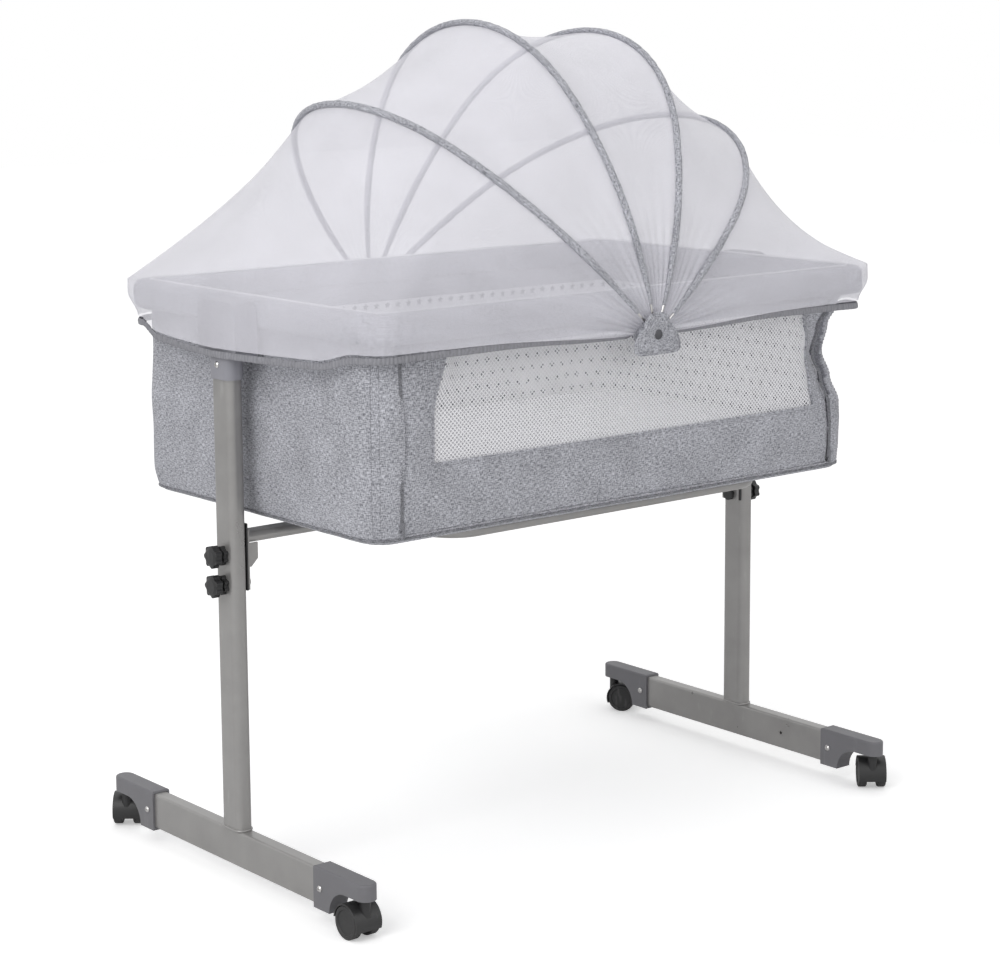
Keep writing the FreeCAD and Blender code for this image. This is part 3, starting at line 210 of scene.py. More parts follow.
def open_edges_below(piece, level):
    """Selects the edges of a single face that lie below a level."""
    bpy.ops.object.mode_set(mode="OBJECT")
    uses = {}
    for face in piece.data.polygons:
        for key in face.edge_keys:
            uses[key] = uses.get(key, 0) + 1
    for edge in piece.data.edges:
        heights = [piece.data.vertices[index].co.z for index in edge.vertices]
        edge.select = uses[tuple(sorted(edge.vertices))] == 1 and max(heights) < level
    bpy.ops.object.mode_set(mode="EDIT")


def fill_edges(piece, choose):
    """Fills between the edges that choose selects and turns every face outwards."""
    activate(piece)
    bpy.ops.object.mode_set(mode="EDIT")
    bpy.ops.mesh.select_mode(type="EDGE")
    bpy.ops.mesh.select_all(action="DESELECT")
    choose()
    bpy.ops.mesh.edge_face_add()
    bpy.ops.mesh.select_all(action="SELECT")
    bpy.ops.mesh.normals_make_consistent(inside=False)
    bpy.ops.object.mode_set(mode="OBJECT")


def remove_faces(piece, chosen):
    """Deletes the faces whose middle is chosen."""
    activate(piece)
    bpy.ops.object.mode_set(mode="EDIT")
    bpy.ops.mesh.select_mode(type="FACE")
    bpy.ops.mesh.select_all(action="DESELECT")
    bpy.ops.object.mode_set(mode="OBJECT")
    for face in piece.data.polygons:
        face.select = chosen(face.center)
    bpy.ops.object.mode_set(mode="EDIT")
    bpy.ops.mesh.delete(type="FACE")
    bpy.ops.object.mode_set(mode="OBJECT")


def apply_modifier(piece, kind, **settings):
    """Adds a modifier and applies it."""
    activate(piece)
    modifier = piece.modifiers.new(kind.title(), kind)
    for key, value in settings.items():
        setattr(modifier, key, value)
    bpy.ops.object.modifier_apply(modifier=modifier.name)


def smooth(piece, degrees=180):
    """Shades a piece smooth, up to an angle between faces."""
    activate(piece)
    if degrees >= 180:
        bpy.ops.object.shade_smooth()
    else:
        bpy.ops.object.shade_smooth_by_angle(angle=math.radians(degrees))


def move_points(piece, shift):
    """Adds shift(point) to every vertex."""
    for vertex in piece.data.vertices:
        vertex.co += shift(vertex.co)
    piece.data.update()


def face_from(piece, middle, inwards=False):
    """Turns an open sheet's faces away from a point, or towards it."""
    lean = sum(face.normal.dot(face.center - middle) * face.area for face in piece.data.polygons)
    if (lean < 0) != inwards:
        edit(piece, bpy.ops.mesh.flip_normals)


def running(points):
    """The distance along a row of points, at each of them."""
    total = [0.0]
    for first, second in zip(points, points[1:]):
        total.append(total[-1] + (second - first).length)
    return total


def stations(marks, spacing):
    """Places about as far apart as spacing, which hit every mark."""
    places = [marks[0]]
    for start, end in zip(marks, marks[1:]):
        count = max(1, round((end - start) / spacing))
        places += [start + (end - start) * step / count for step in range(1, count + 1)]
    return places


def woven(name, across, along, place):
    """A grid whose vertex in column i, row j is at place(across[i], along[j]), with its UV map in metres."""
    deselect()
    columns = len(across) - 1
    rows = len(along) - 1
    bpy.ops.mesh.primitive_grid_add(x_subdivisions=columns, y_subdivisions=rows, size=1)
    piece = bpy.context.object
    piece.name = name
    piece.data.name = name
    if len(piece.data.vertices) != (columns + 1) * (rows + 1):
        raise RuntimeError(f"{name}: the grid has {len(piece.data.vertices)} vertices")
    points = [[Vector(place(here, there)) for there in along] for here in across]
    spots = []
    for vertex in piece.data.vertices:
        spots.append((round((vertex.co.x + 0.5) * columns), round((vertex.co.y + 0.5) * rows)))
    for vertex, (column, row) in zip(piece.data.vertices, spots):
        vertex.co = points[column][row]
    run = running([column[rows // 2] for column in points])
    rise = running(points[columns // 2])
    layer = piece.data.uv_layers.active
    for corner in piece.data.loops:
        column, row = spots[corner.vertex_index]
        layer.data[corner.index].uv = (run[column], rise[row])
    piece.data.update()
    return piece


def turns(count):
    """Even turns round a full circle, the first and last the same."""
    return [2 * math.pi * step / count for step in range(count + 1)]


def tube(name, path, radius, across=UP, sides=8):
    """A round cord along a closed row of points; across is a direction that the path never runs along."""
    last = len(path) - 1

    def place(index, turn):
        before = path[index - 1] if index > 0 else path[last - 1]
        after = path[index + 1] if index < last else path[1]
        ahead = (after - before).normalized()
        side = ahead.cross(across).normalized()
        up = side.cross(ahead)
        return path[index] + (side * math.cos(turn) + up * math.sin(turn)) * radius

    piece = woven(name, list(range(last + 1)), turns(sides), place)
    close_seams(piece)
    smooth(piece)
    return piece


def copies(name, template, places):
    """One mesh that holds a copy of a small template at each place; the template is then deleted."""
    verts = [vertex.co.copy() for vertex in template.data.vertices]
    faces = [tuple(face.vertices) for face in template.data.polygons]
    all_verts = []
    all_faces = []
    for matrix in places:
        start = len(all_verts)
        all_verts += [matrix @ vertex for vertex in verts]
        all_faces += [tuple(start + index for index in face) for face in faces]
    mesh = bpy.data.meshes.new(name)
    mesh.from_pydata(all_verts, [], all_faces)
    mesh.update()
    piece = bpy.data.objects.new(name, mesh)
    bpy.context.scene.collection.objects.link(piece)
    bpy.data.objects.remove(template)
    return piece


def joined(name, *pieces):
    """Several objects as one mesh object."""
    activate(pieces[0])
    for piece in pieces[1:]:
        piece.select_set(True)
    bpy.ops.object.join()
    pieces[0].name = name
    pieces[0].data.name = name
    return pieces[0]


def frame_at(place, ahead, out):
    """A matrix at a place whose X runs ahead and whose Z points out."""
    z = Vector(out).normalized()
    x = (Vector(ahead) - z * Vector(ahead).dot(z)).normalized()
    y = z.cross(x)
    turn = Matrix((x, y, z)).transposed().to_4x4()
    return Matrix.Translation(place) @ turn


def small_block(size, place, bevel, rounds):
    """A block with bevelled edges."""
    deselect()
    bpy.ops.mesh.primitive_cube_add(size=1, scale=size, location=place)
    block = bpy.context.object
    bpy.ops.object.transform_apply(location=True, rotation=False, scale=True)
    edit(block, lambda: bpy.ops.mesh.bevel(offset=bevel, segments=rounds, affect="EDGES"))
    return block


def stitches(name, path, out, length, gap):
    """A line of sewn stitches laid along a row of points."""
    deselect()
    thickness = length / 9
    lying = (0, math.pi / 2, 0)
    bpy.ops.mesh.primitive_cylinder_add(vertices=6, radius=thickness, depth=length, rotation=lying)
    template = bpy.context.object
    bpy.ops.object.transform_apply(location=False, rotation=True, scale=False)
    edit(template, lambda: bpy.ops.mesh.bevel(offset=length / 16, segments=1, affect="EDGES"))
    run = running(path)
    places = []
    for step in range(int(run[-1] / gap)):
        reach = (step + 0.5) * gap
        index = max(i for i, value in enumerate(run[:-1]) if value <= reach)
        share = (reach - run[index]) / (run[index + 1] - run[index])
        spot = path[index].lerp(path[index + 1], share)
        places.append(frame_at(spot, path[index + 1] - path[index], out))
    piece = copies(name, template, places)
    smooth(piece)
    return piece


def hand_over(piece, body, slot, material, *nodes):
    """Gives a finished piece its material and its body and hides the nodes that it stands for; slot is not
    used.
    """
    piece.data.materials.clear()
    piece.data.materials.append(material)
    if nodes:
        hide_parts(*nodes)
    if body:
        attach(piece, body)
    return piece


def ease(value):
    """A smooth step from 0 to 1."""
    held = min(1.0, max(0.0, value))
    return held * held * (3 - 2 * held)


def between(table, value):
    """Reads a short table of (place, amount) pairs with smooth steps between them."""
    if value <= table[0][0]:
        return table[0][1]
    for (low, start), (high, end) in zip(table, table[1:]):
        if value <= high:
            return start + (end - start) * ease((value - low) / (high - low))
    return table[-1][1]


# ---------------------------------------------------------------- shapes that several pieces share


def ring_length(length, depth, corner):
    """The way round a rounded rectangle."""
    return 2 * (length + depth) - 8 * corner + 2 * math.pi * corner


def ring_spot(length, depth, corner, distance):
    """A point on a rounded rectangle and the direction out of it, from the middle of the front towards +X."""
    x = length / 2 - corner
    y = depth / 2 - corner
    turn = math.pi * corner / 2
    distance = distance % ring_length(length, depth, corner)
    runs = (
        (x, Vector((0, -depth / 2, 0)), 0),
        (turn, Vector((x, -y, 0)), None),
        (2 * y, Vector((length / 2, -y, 0)), 90),
        (turn, Vector((x, y, 0)), None),
        (2 * x, Vector((x, depth / 2, 0)), 180),
        (turn, Vector((-x, y, 0)), None),
        (2 * y, Vector((-length / 2, y, 0)), 270),
        (turn, Vector((-x, -y, 0)), None),
        (x + 1, Vector((-x, -depth / 2, 0)), 360),
    )
    for index, (run, start, heading) in enumerate(runs):
        if distance > run and index < len(runs) - 1:
            distance -= run
            continue
        if heading is None:
            angle = math.radians(-90 + 90 * (index // 2)) + distance / corner
            out = Vector((math.cos(angle), math.sin(angle), 0))
            return start + out * corner, out
        way = math.radians(heading)
        ahead = Vector((math.cos(way), math.sin(way), 0))
        return start + ahead * distance, Vector((ahead.y, -ahead.x, 0))
    raise RuntimeError("no such place on the ring")


def corner_marks(length, depth, corner):
    """The distances of the four corners' middles along a ring."""
    turn = math.pi * corner / 2
    first = length / 2 - corner + turn / 2
    second = first + depth - 2 * corner + turn
    whole = ring_length(length, depth, corner)
    return [first, second, whole - second, whole - first]


def round_ring(ring, spacing):
    """Places all the way round a ring that hit its corners' middles."""
    return stations([0, *corner_marks(*ring), ring_length(*ring)], spacing)


def relief(point, sizes):
    """Wrinkles of hanging cloth: broad ones and small creases, the same wherever the script runs."""
    broad = noise.noise(Vector((point.x * 9, point.y * 9, point.z * 15)))
    small = noise.noise(Vector((point.x * 34 + 5, point.y * 34, point.z * 22)))
    return broad * sizes.wrinkle + small * sizes.crease


# How far the cloth is pulled in at the right front corner, by height.
PULLED_IN = (
    (0.448, 0.003),
    (0.470, 0.005),
    (0.510, 0.005),
    (0.535, 0.007),
    (0.570, 0.019),
    (0.603, 0.030),
    (0.639, 0.022),
    (0.665, 0.010),
    (0.681, 0.003),
)


def slack_corner(point):
    """The shift of slack cloth at the right front corner."""
    near_right = ease((point.x - 0.290) / 0.067)
    near_front = ease((-point.y - 0.125) / 0.095)
    inwards = Vector((-0.774, 0.633, 0))
    return inwards * (near_right * near_front) * between(PULLED_IN, point.z)


def tuck(point):
    """The shift that draws the cloth's lower edge in under the tub."""
    start, height, depth = 0.480, 0.030, 0.0035
    drawn = depth * ease((start - point.z) / height)
    flat = Vector((2 * point.x / BODY["length"], 2 * point.y / BODY["depth"], 0))
    return -flat.normalized() * drawn if flat.length > 0.5 else Vector((0, 0, 0))


def hoop_spot(hoop, share, inset, foot):
    """(across, out from the hub) at a share of a hoop's way from its back foot to its front foot."""
    if share > 0.5:
        across, out = hoop_spot(hoop, 1 - share, inset, foot)
        return -across, out
    half = HUB_SPREAD / 2 + list(HOOPS).index(hoop) * HUB_PITCH - inset
    reach = HOOPS[hoop]["reach"] - inset
    crown = HOOPS[hoop]["crown"] - inset
    flank = (half**2 + (reach - crown) ** 2 - crown**2) / (2 * (half - crown))
    lowest = math.asin(foot / flank)
    shoulder = math.asin((reach - crown) / (flank - crown))
    side, bend, top = line_parts(share)
    if side < 1:
        turn = lowest + (shoulder - lowest) * side
        return half - flank + flank * math.cos(turn), flank * math.sin(turn)
    turn = shoulder + (0.2 * bend + 0.8 * top) * (math.pi / 2 - shoulder)
    return crown * math.cos(turn), reach - crown + crown * math.sin(turn)


def line_parts(share):
    """How much of the side, of the bend and of the top lies behind a place on the first half of a line."""
    side_end, bend_end = 0.23, 0.29
    side = min(1.0, share / side_end)
    bend = min(1.0, max(0.0, (share - side_end) / (bend_end - side_end)))
    top = min(1.0, max(0.0, (share - bend_end) / (0.5 - bend_end)))
    return side, bend, top


def rim_spot(tilt, share, foot):
    """(across, out from the hub) round one half of the rim, in a plane at this tilt."""
    if share > 0.5:
        across, out = rim_spot(tilt, 1 - share, foot)
        return -across, out
    lean = math.sin(math.radians(abs(tilt)))
    half = RIM["depth"] / 2 + NET_HANG
    ahead = (RIM["length"] / 2 + NET_HANG) / lean
    corner = RIM["corner"] + NET_HANG
    nose = (BRACKET_FACE + NET_HANG) / lean
    side, bend, top = line_parts(share)
    if side < 1:
        return half, foot + (ahead - corner - foot) * side
    if top <= 0:
        angle = bend * math.pi / 2
        return half - corner + corner * math.cos(angle), ahead - corner + corner * math.sin(angle)
    still, nose_shape = 1 - top, 1.737
    return (half - corner) * still, nose - (nose - ahead) * still**nose_shape


def hem_lift(share):
    """How far the elastic draws the net's hem up along the rim's long sides."""
    full_at, gone_at = 0.7, 0.25
    side, _, top = line_parts(min(share, 1 - share))
    return UP * (HEM_LIFT * ease(side / full_at) * (1 - ease(top / gone_at)))


def hem_tuck(share):
    """How far the elastic draws the net's hem in under the rim's ends."""
    start, roundness = 0.6, 0.8
    side, _, top = line_parts(min(share, 1 - share))
    return HEM_TUCK * ease((side - start) / (1 - start)) * (1 - top) ** roundness


def fan_point(spot, tilt, shift=0.0):
    """A point in a plane through the hub's axis, tilted towards +X and moved square to itself."""
    across, out = spot
    turn = math.radians(tilt)
    x = out * math.sin(turn) + shift * math.cos(turn)
    z = HUB_HEIGHT + out * math.cos(turn) - shift * math.sin(turn)
    return Vector((x, across, z))


def hang(start, end, share):
    """A point between two, drawn towards the hub's axis as slack cloth is."""
    slack = 1 - (1 - NET_SLACK) * math.sin(math.pi * share)
    point = start.lerp(end, share)
    return Vector((point.x * slack, point.y, HUB_HEIGHT + (point.z - HUB_HEIGHT) * slack))


def out_of_rim(point):
    """The level direction away from the rim."""
    x = max(0.0, abs(point.x) - RIM["length"] / 2 + RIM["corner"])
    y = max(0.0, abs(point.y) - RIM["depth"] / 2 + RIM["corner"])
    return Vector((math.copysign(x, point.x), math.copysign(y, point.y), 0)).normalized()


# ---------------------------------------------------------------- materials


def opaque(value):
    """A colour's three parts with a full alpha; anything else as it is."""
    if isinstance(value, (tuple, list)) and len(value) == 3:
        return (*value, 1.0)
    return value


class Wiring:
    """Short ways to add shader nodes to a tree."""

    def __init__(self, tree):
        self.tree = tree

    def feed(self, socket, value):
        """Links an output to a socket, or sets the socket's own value."""
        if isinstance(value, bpy.types.NodeSocket):
            self.tree.links.new(value, socket)
        else:
            socket.default_value = value

    def add(self, kind, settings=(), **inputs):
        """A node with its settings and inputs."""
        node = self.tree.nodes.new(kind)
        for key, value in settings:
            setattr(node, key, value)
        for label, value in inputs.items():
            self.feed(node.inputs[label.replace("_", " ")], value)
        return node

    def math(self, operation, first, second=0.0):
        """A sum of two values."""
        node = self.add("ShaderNodeMath", [("operation", operation)])
        self.feed(node.inputs[0], first)
        self.feed(node.inputs[1], second)
        return node.outputs[0]

    def stretch(self, vector, x, y, z=1.0):
        """A vector with each of its parts multiplied."""
        factors = self.add("ShaderNodeCombineXYZ", X=x, Y=y, Z=z).outputs[0]
        node = self.add("ShaderNodeVectorMath", [("operation", "MULTIPLY")])
        self.feed(node.inputs[0], vector)
        self.feed(node.inputs[1], factors)
        return node.outputs[0]

    def noise(self, vector, scale, detail=2.0):
        """A cloud of values about a half."""
        return self.add("ShaderNodeTexNoise", Vector=vector, Scale=scale, Detail=detail).outputs["Fac"]

    def span(self, value, low, high, start=0.0, end=1.0):
        """A value moved from one span to another, held inside it."""
        given = {"Value": value, "From_Min": low, "From_Max": high, "To_Min": start, "To_Max": end}
        return self.add("ShaderNodeMapRange", **given).outputs["Result"]

    def mix(self, share, first, second, way="MIX"):
        """Two colours mixed by a share."""
        node = self.add("ShaderNodeMix", [("data_type", "RGBA"), ("blend_type", way)])
        for index, value in ((0, share), (6, first), (7, second)):
            self.feed(node.inputs[index], opaque(value))
        return node.outputs[2]

    def scaled(self, vector, pitch):
        """The X, Y and Z of a vector, in steps of a pitch."""
        inverse = self.math("DIVIDE", 1.0, pitch)
        return self.add("ShaderNodeSeparateXYZ", Vector=self.stretch(vector, inverse, inverse)).outputs


def effect(name, inputs, outputs, build):
    """A node group with named inputs and outputs, made once."""
    tree = bpy.data.node_groups.get(name)
    if tree is None:
        tree = bpy.data.node_groups.new(name, "ShaderNodeTree")
        for label, kind in inputs:
            tree.interface.new_socket(name=label, in_out="INPUT", socket_type=f"NodeSocket{kind}")
        for label, kind in outputs:
            tree.interface.new_socket(name=label, in_out="OUTPUT", socket_type=f"NodeSocket{kind}")
        wiring = Wiring(tree)
        given = tree.nodes.new("NodeGroupInput").outputs
        results = tree.nodes.new("NodeGroupOutput").inputs
        for label, value in build(wiring, given).items():
            wiring.feed(results[label], value)
    return tree


def heather():
    """Two-tone threads with flecks both ways, and the height of the weave."""

    def build(wiring, given):
        fine = wiring.math("DIVIDE", 1.0, given["Fleck"])
        long = wiring.math("MULTIPLY", fine, 0.22)
        warp = wiring.noise(wiring.stretch(given["Vector"], long, fine), 1.0)
        weft = wiring.noise(wiring.stretch(given["Vector"], fine, long), 1.3)
        runs = [wiring.span(run, 0.42, 0.58) for run in (warp, weft)]
        flecks = wiring.math("MULTIPLY", wiring.math("ADD", *runs), 0.5)
        tone = wiring.mix(flecks, given["Dark"], given["Light"])
        broad = wiring.span(wiring.noise(given["Vector"], 22.0, 4.0), 0.3, 0.7, 0.86, 1.10)
        turn = wiring.math("DIVIDE", 2 * math.pi, given["Thread"])
        parts = wiring.add("ShaderNodeSeparateXYZ", Vector=given["Vector"]).outputs
        waves = [wiring.math("SINE", wiring.math("MULTIPLY", parts[axis], turn)) for axis in ("X", "Y")]
        weave = wiring.math("MULTIPLY", *waves)
        halves = [wiring.math("MULTIPLY", part, 0.5) for part in (weave, flecks)]
        height = wiring.math("ADD", *halves)
        return {"Color": wiring.mix(1.0, tone, broad, "MULTIPLY"), "Height": height}

    inputs = [("Vector", "Vector"), ("Light", "Color"), ("Dark", "Color")]
    inputs += [("Fleck", "Float"), ("Thread", "Float")]
    return effect("heathered_weave", inputs, [("Color", "Color"), ("Height", "Float")], build)


def star_print():
    """Rows of small five-pointed stars."""

    def build(wiring, given):
        parts = wiring.scaled(given["Vector"], given["Pitch"])
        row = wiring.math("FLOOR", parts["Y"])
        offset = wiring.math("MULTIPLY", wiring.math("FLOORED_MODULO", row, 2.0), 0.5)
        x = wiring.math("SUBTRACT", wiring.math("FRACT", wiring.math("ADD", parts["X"], offset)), 0.5)
        y = wiring.math("SUBTRACT", wiring.math("FRACT", parts["Y"]), 0.5)
        squares = [wiring.math("MULTIPLY", part, part) for part in (x, y)]
        reach = wiring.math("SQRT", wiring.math("ADD", *squares))
        turn = wiring.math("MULTIPLY", wiring.math("ARCTAN2", x, y), 5 / (2 * math.pi))
        notch = wiring.math("PINGPONG", turn, 0.5)
        depth = wiring.math("SUBTRACT", 1.0, wiring.math("MULTIPLY", notch, 1.3))
        limit = wiring.math("MULTIPLY", given["Star"], depth)
        inside = wiring.span(wiring.math("SUBTRACT", limit, reach), -0.02, 0.02)
        return {"Color": wiring.mix(inside, given["Ground"], given["Ink"]), "Mask": inside}

    inputs = [("Vector", "Vector"), ("Ground", "Color"), ("Ink", "Color")]
    inputs += [("Pitch", "Float"), ("Star", "Float")]
    return effect("star_print", inputs, [("Color", "Color"), ("Mask", "Float")], build)


def open_weave():
    """The threads of a diamond mesh: 1 on a thread and 0 in a hole."""

    def build(wiring, given):
        parts = wiring.scaled(given["Vector"], given["Pitch"])
        slants = [wiring.math(way, parts["X"], parts["Y"]) for way in ("ADD", "SUBTRACT")]
        nearest = wiring.math("MINIMUM", *[wiring.math("PINGPONG", slant, 0.5) for slant in slants])
        low = wiring.math("MULTIPLY", given["Thread"], 0.35)
        high = wiring.math("MULTIPLY", given["Thread"], 0.65)
        mask = wiring.span(nearest, low, high, 1.0, 0.0)
        return {"Mask": mask, "Height": wiring.span(nearest, 0.0, high, 1.0, 0.0)}

    inputs = [("Vector", "Vector"), ("Pitch", "Float"), ("Thread", "Float")]
    return effect("open_weave", inputs, [("Mask", "Float"), ("Height", "Float")], build)


def worn_surface():
    """Fine grain, uneven gloss, scuffs and dust towards the floor."""

    def build(wiring, given):
        grain = wiring.noise(given["Vector"], given["Grain"], 3.0)
        cloud = wiring.noise(given["Vector"], 23.0, 4.0)
        streaks = wiring.noise(wiring.stretch(given["Vector"], 60.0, 60.0, 14.0), 1.0, 5.0)
        scuff = wiring.span(streaks, 0.64, 0.74)
        height = wiring.add("ShaderNodeSeparateXYZ", Vector=given["Vector"]).outputs["Z"]
        dust = wiring.math("MULTIPLY", wiring.span(height, 0.0, 0.055, 0.08, 0.0), cloud)
        tone = wiring.span(cloud, 0.3, 0.7, 0.92, 1.06)
        plain = wiring.mix(1.0, given["Color"], tone, "MULTIPLY")
        worn = wiring.mix(wiring.math("MULTIPLY", scuff, given["Wear"]), plain, (0.55, 0.55, 0.55))
        dusty = wiring.mix(dust, worn, (0.42, 0.41, 0.39))
        spread = wiring.math("ADD", given["Roughness"], wiring.span(cloud, 0.3, 0.7, -0.06, 0.08))
        gloss = wiring.math("ADD", spread, wiring.math("MULTIPLY", scuff, 0.12))
        return {"Color": dusty, "Roughness": gloss, "Height": grain}

    inputs = [("Vector", "Vector"), ("Color", "Color"), ("Grain", "Float"), ("Wear", "Float")]
    inputs += [("Roughness", "Float")]
    outputs = [("Color", "Color"), ("Roughness", "Float"), ("Height", "Float")]
    return effect("worn_surface", inputs, outputs, build)


def new_material(name):
    """An empty material's wiring and its Principled node."""
    material = bpy.data.materials.new(name)
    material.use_nodes = True
    principled = material.node_tree.nodes["Principled BSDF"]
    return material, Wiring(material.node_tree), principled


def placed_group(wiring, tree, **inputs):
    """A node group in a material, with its own values."""
    node = wiring.tree.nodes.new("ShaderNodeGroup")
    node.node_tree = tree
    for label, value in inputs.items():
        wiring.feed(node.inputs[label], opaque(value))
    return node.outputs


def bumped(wiring, principled, height, depth, strength=1.0):
    """Feeds a height into a material's normal; depth is in metres."""
    bump = wiring.add("ShaderNodeBump", Strength=strength, Distance=depth, Height=height)
    wiring.feed(principled.inputs["Normal"], bump.outputs["Normal"])


def finish(name):
    """A finish by its name, made the first time that it is asked for."""
    label = f"{name}_finish"
    return bpy.data.materials.get(label) or FINISHES[name](label)


def cloth_finish(name, lighter=1.0):
    """Grey heathered cloth on a piece's own UV map."""
    sizes = bpy.context.scene.crib_sizes
    colours = bpy.context.scene.crib_colours
    material, wiring, principled = new_material(name)
    across = wiring.add("ShaderNodeTexCoord").outputs["UV"]
    woven_cloth = placed_group(
        wiring, heather(), Vector=across, Light=[part * lighter for part in colours.cloth_light],
        Dark=[part * lighter for part in colours.cloth_dark], Fleck=sizes.fleck, Thread=sizes.thread,
    )
    wiring.feed(principled.inputs["Base Color"], woven_cloth["Color"])
    principled.inputs["Roughness"].default_value = 0.92
    principled.inputs["Sheen Weight"].default_value = 0.12
    principled.inputs["Sheen Roughness"].default_value = 0.4
    bumped(wiring, principled, woven_cloth["Height"], 0.00030, 0.45)
    return material


def star_finish(name):
    """White lining printed with small grey stars."""
    sizes = bpy.context.scene.crib_sizes
    colours = bpy.context.scene.crib_colours
    material, wiring, principled = new_material(name)
    across = wiring.add("ShaderNodeTexCoord").outputs["UV"]
    printed = placed_group(
        wiring, star_print(), Vector=across, Ground=list(colours.lining), Ink=list(colours.star),
        Pitch=sizes.star_pitch, Star=0.27,
    )
    threads = placed_group(
        wiring, heather(), Vector=across, Light=(1, 1, 1), Dark=(0.86, 0.86, 0.87), Fleck=sizes.fleck,
        Thread=sizes.thread,
    )
    tone = wiring.mix(1.0, printed["Color"], threads["Color"], "MULTIPLY")
    wiring.feed(principled.inputs["Base Color"], tone)
    principled.inputs["Roughness"].default_value = 0.85
    bumped(wiring, principled, threads["Height"], 0.0002, 0.6)
    return material


def plain_cloth_finish(name):
    """White quilted cloth with a fine weave, for the mattress."""
    sizes = bpy.context.scene.crib_sizes
    colours = bpy.context.scene.crib_colours
    material, wiring, principled = new_material(name)
    place = wiring.add("ShaderNodeTexCoord").outputs["Object"]
    shaded = [part * 0.86 for part in colours.lining]
    threads = placed_group(
        wiring, heather(), Vector=place, Light=list(colours.lining), Dark=shaded, Fleck=sizes.fleck,
        Thread=sizes.thread,
    )
    wiring.feed(principled.inputs["Base Color"], threads["Color"])
    principled.inputs["Roughness"].default_value = 0.9
    bumped(wiring, principled, threads["Height"], 0.0003, 0.6)
    return material


def mesh_finish(name):
    """White diamond mesh with holes, its threads painted grey towards their edges as shade."""
    sizes = bpy.context.scene.crib_sizes
    material, wiring, principled = new_material(name)
    across = wiring.add("ShaderNodeTexCoord").outputs["UV"]
    threads = placed_group(wiring, open_weave(), Vector=across, Pitch=sizes.mesh_pitch, Thread=0.40)
    # Painted shade: the threads go from the mesh's white to grey towards their edges, where their height
    # falls off.
    shade = wiring.mix(threads["Height"], (0.84, 0.84, 0.87), tuple(bpy.context.scene.crib_colours.mesh))
    wiring.feed(principled.inputs["Base Color"], shade)
    wiring.feed(principled.inputs["Alpha"], threads["Mask"])
    principled.inputs["Roughness"].default_value = 0.75
    bumped(wiring, principled, threads["Height"], 0.0005)
    return material


def net_finish(name):
    """Sheer white net."""
    sizes = bpy.context.scene.crib_sizes
    material, wiring, principled = new_material(name)
    across = wiring.add("ShaderNodeTexCoord").outputs["UV"]
    threads = placed_group(wiring, open_weave(), Vector=across, Pitch=sizes.net_pitch, Thread=0.36)
    cloud = wiring.span(wiring.noise(across, 10.0, 3.0), 0.3, 0.7, 0.88, 1.0)
    tone = wiring.mix(1.0, tuple(bpy.context.scene.crib_colours.net), cloud, "MULTIPLY")
    wiring.feed(principled.inputs["Base Color"], tone)
    wiring.feed(principled.inputs["Alpha"], wiring.span(threads["Mask"], 0.0, 1.0, 0.26, 0.84))
    principled.inputs["Roughness"].default_value = 0.7
    principled.inputs["Sheen Weight"].default_value = 0.25
    return material


def elastic_finish(name):
    """Ribbed elastic in a gathered hem, painted darker in the grooves between its ribs as shade."""
    colours = bpy.context.scene.crib_colours
    material, wiring, principled = new_material(name)
    across = wiring.add("ShaderNodeTexCoord").outputs["UV"]
    parts = wiring.add("ShaderNodeSeparateXYZ", Vector=across).outputs
    uneven = wiring.noise(wiring.stretch(across, 260.0, 60.0), 1.0, 3.0)
    rib_pitch = 0.0052
    even_run = wiring.math("MULTIPLY", parts["X"], 2 * math.pi / rib_pitch)
    run = wiring.math("ADD", even_run, wiring.math("MULTIPLY", uneven, 9.0))
    height = wiring.math("ADD", wiring.math("MULTIPLY", wiring.math("SINE", run), 0.12), uneven)
    # Painted shade: the elastic is painted darker where its ribs are low, in their grooves.
    rib_groove_shade = tuple(part * 0.55 for part in colours.elastic)
    tone = wiring.mix(wiring.span(height, 0.1, 0.9), rib_groove_shade, tuple(colours.elastic))
    wiring.feed(principled.inputs["Base Color"], tone)
    principled.inputs["Roughness"].default_value = 0.85
    bumped(wiring, principled, height, 0.0006)
    return material


def hard_finish(name, tint, grain, wear, roughness, metallic, bump):
    """Paint, plastic or steel on the frame's own coordinates."""
    material, wiring, principled = new_material(name)
    place = wiring.add("ShaderNodeTexCoord").outputs["Object"]
    paint = list(getattr(bpy.context.scene.crib_colours, tint))
    surface = placed_group(
        wiring, worn_surface(), Vector=place, Color=paint, Grain=grain, Wear=wear, Roughness=roughness
    )
    wiring.feed(principled.inputs["Base Color"], surface["Color"])
    wiring.feed(principled.inputs["Roughness"], surface["Roughness"])
    principled.inputs["Metallic"].default_value = metallic
    bumped(wiring, principled, surface["Height"], bump)
    return material


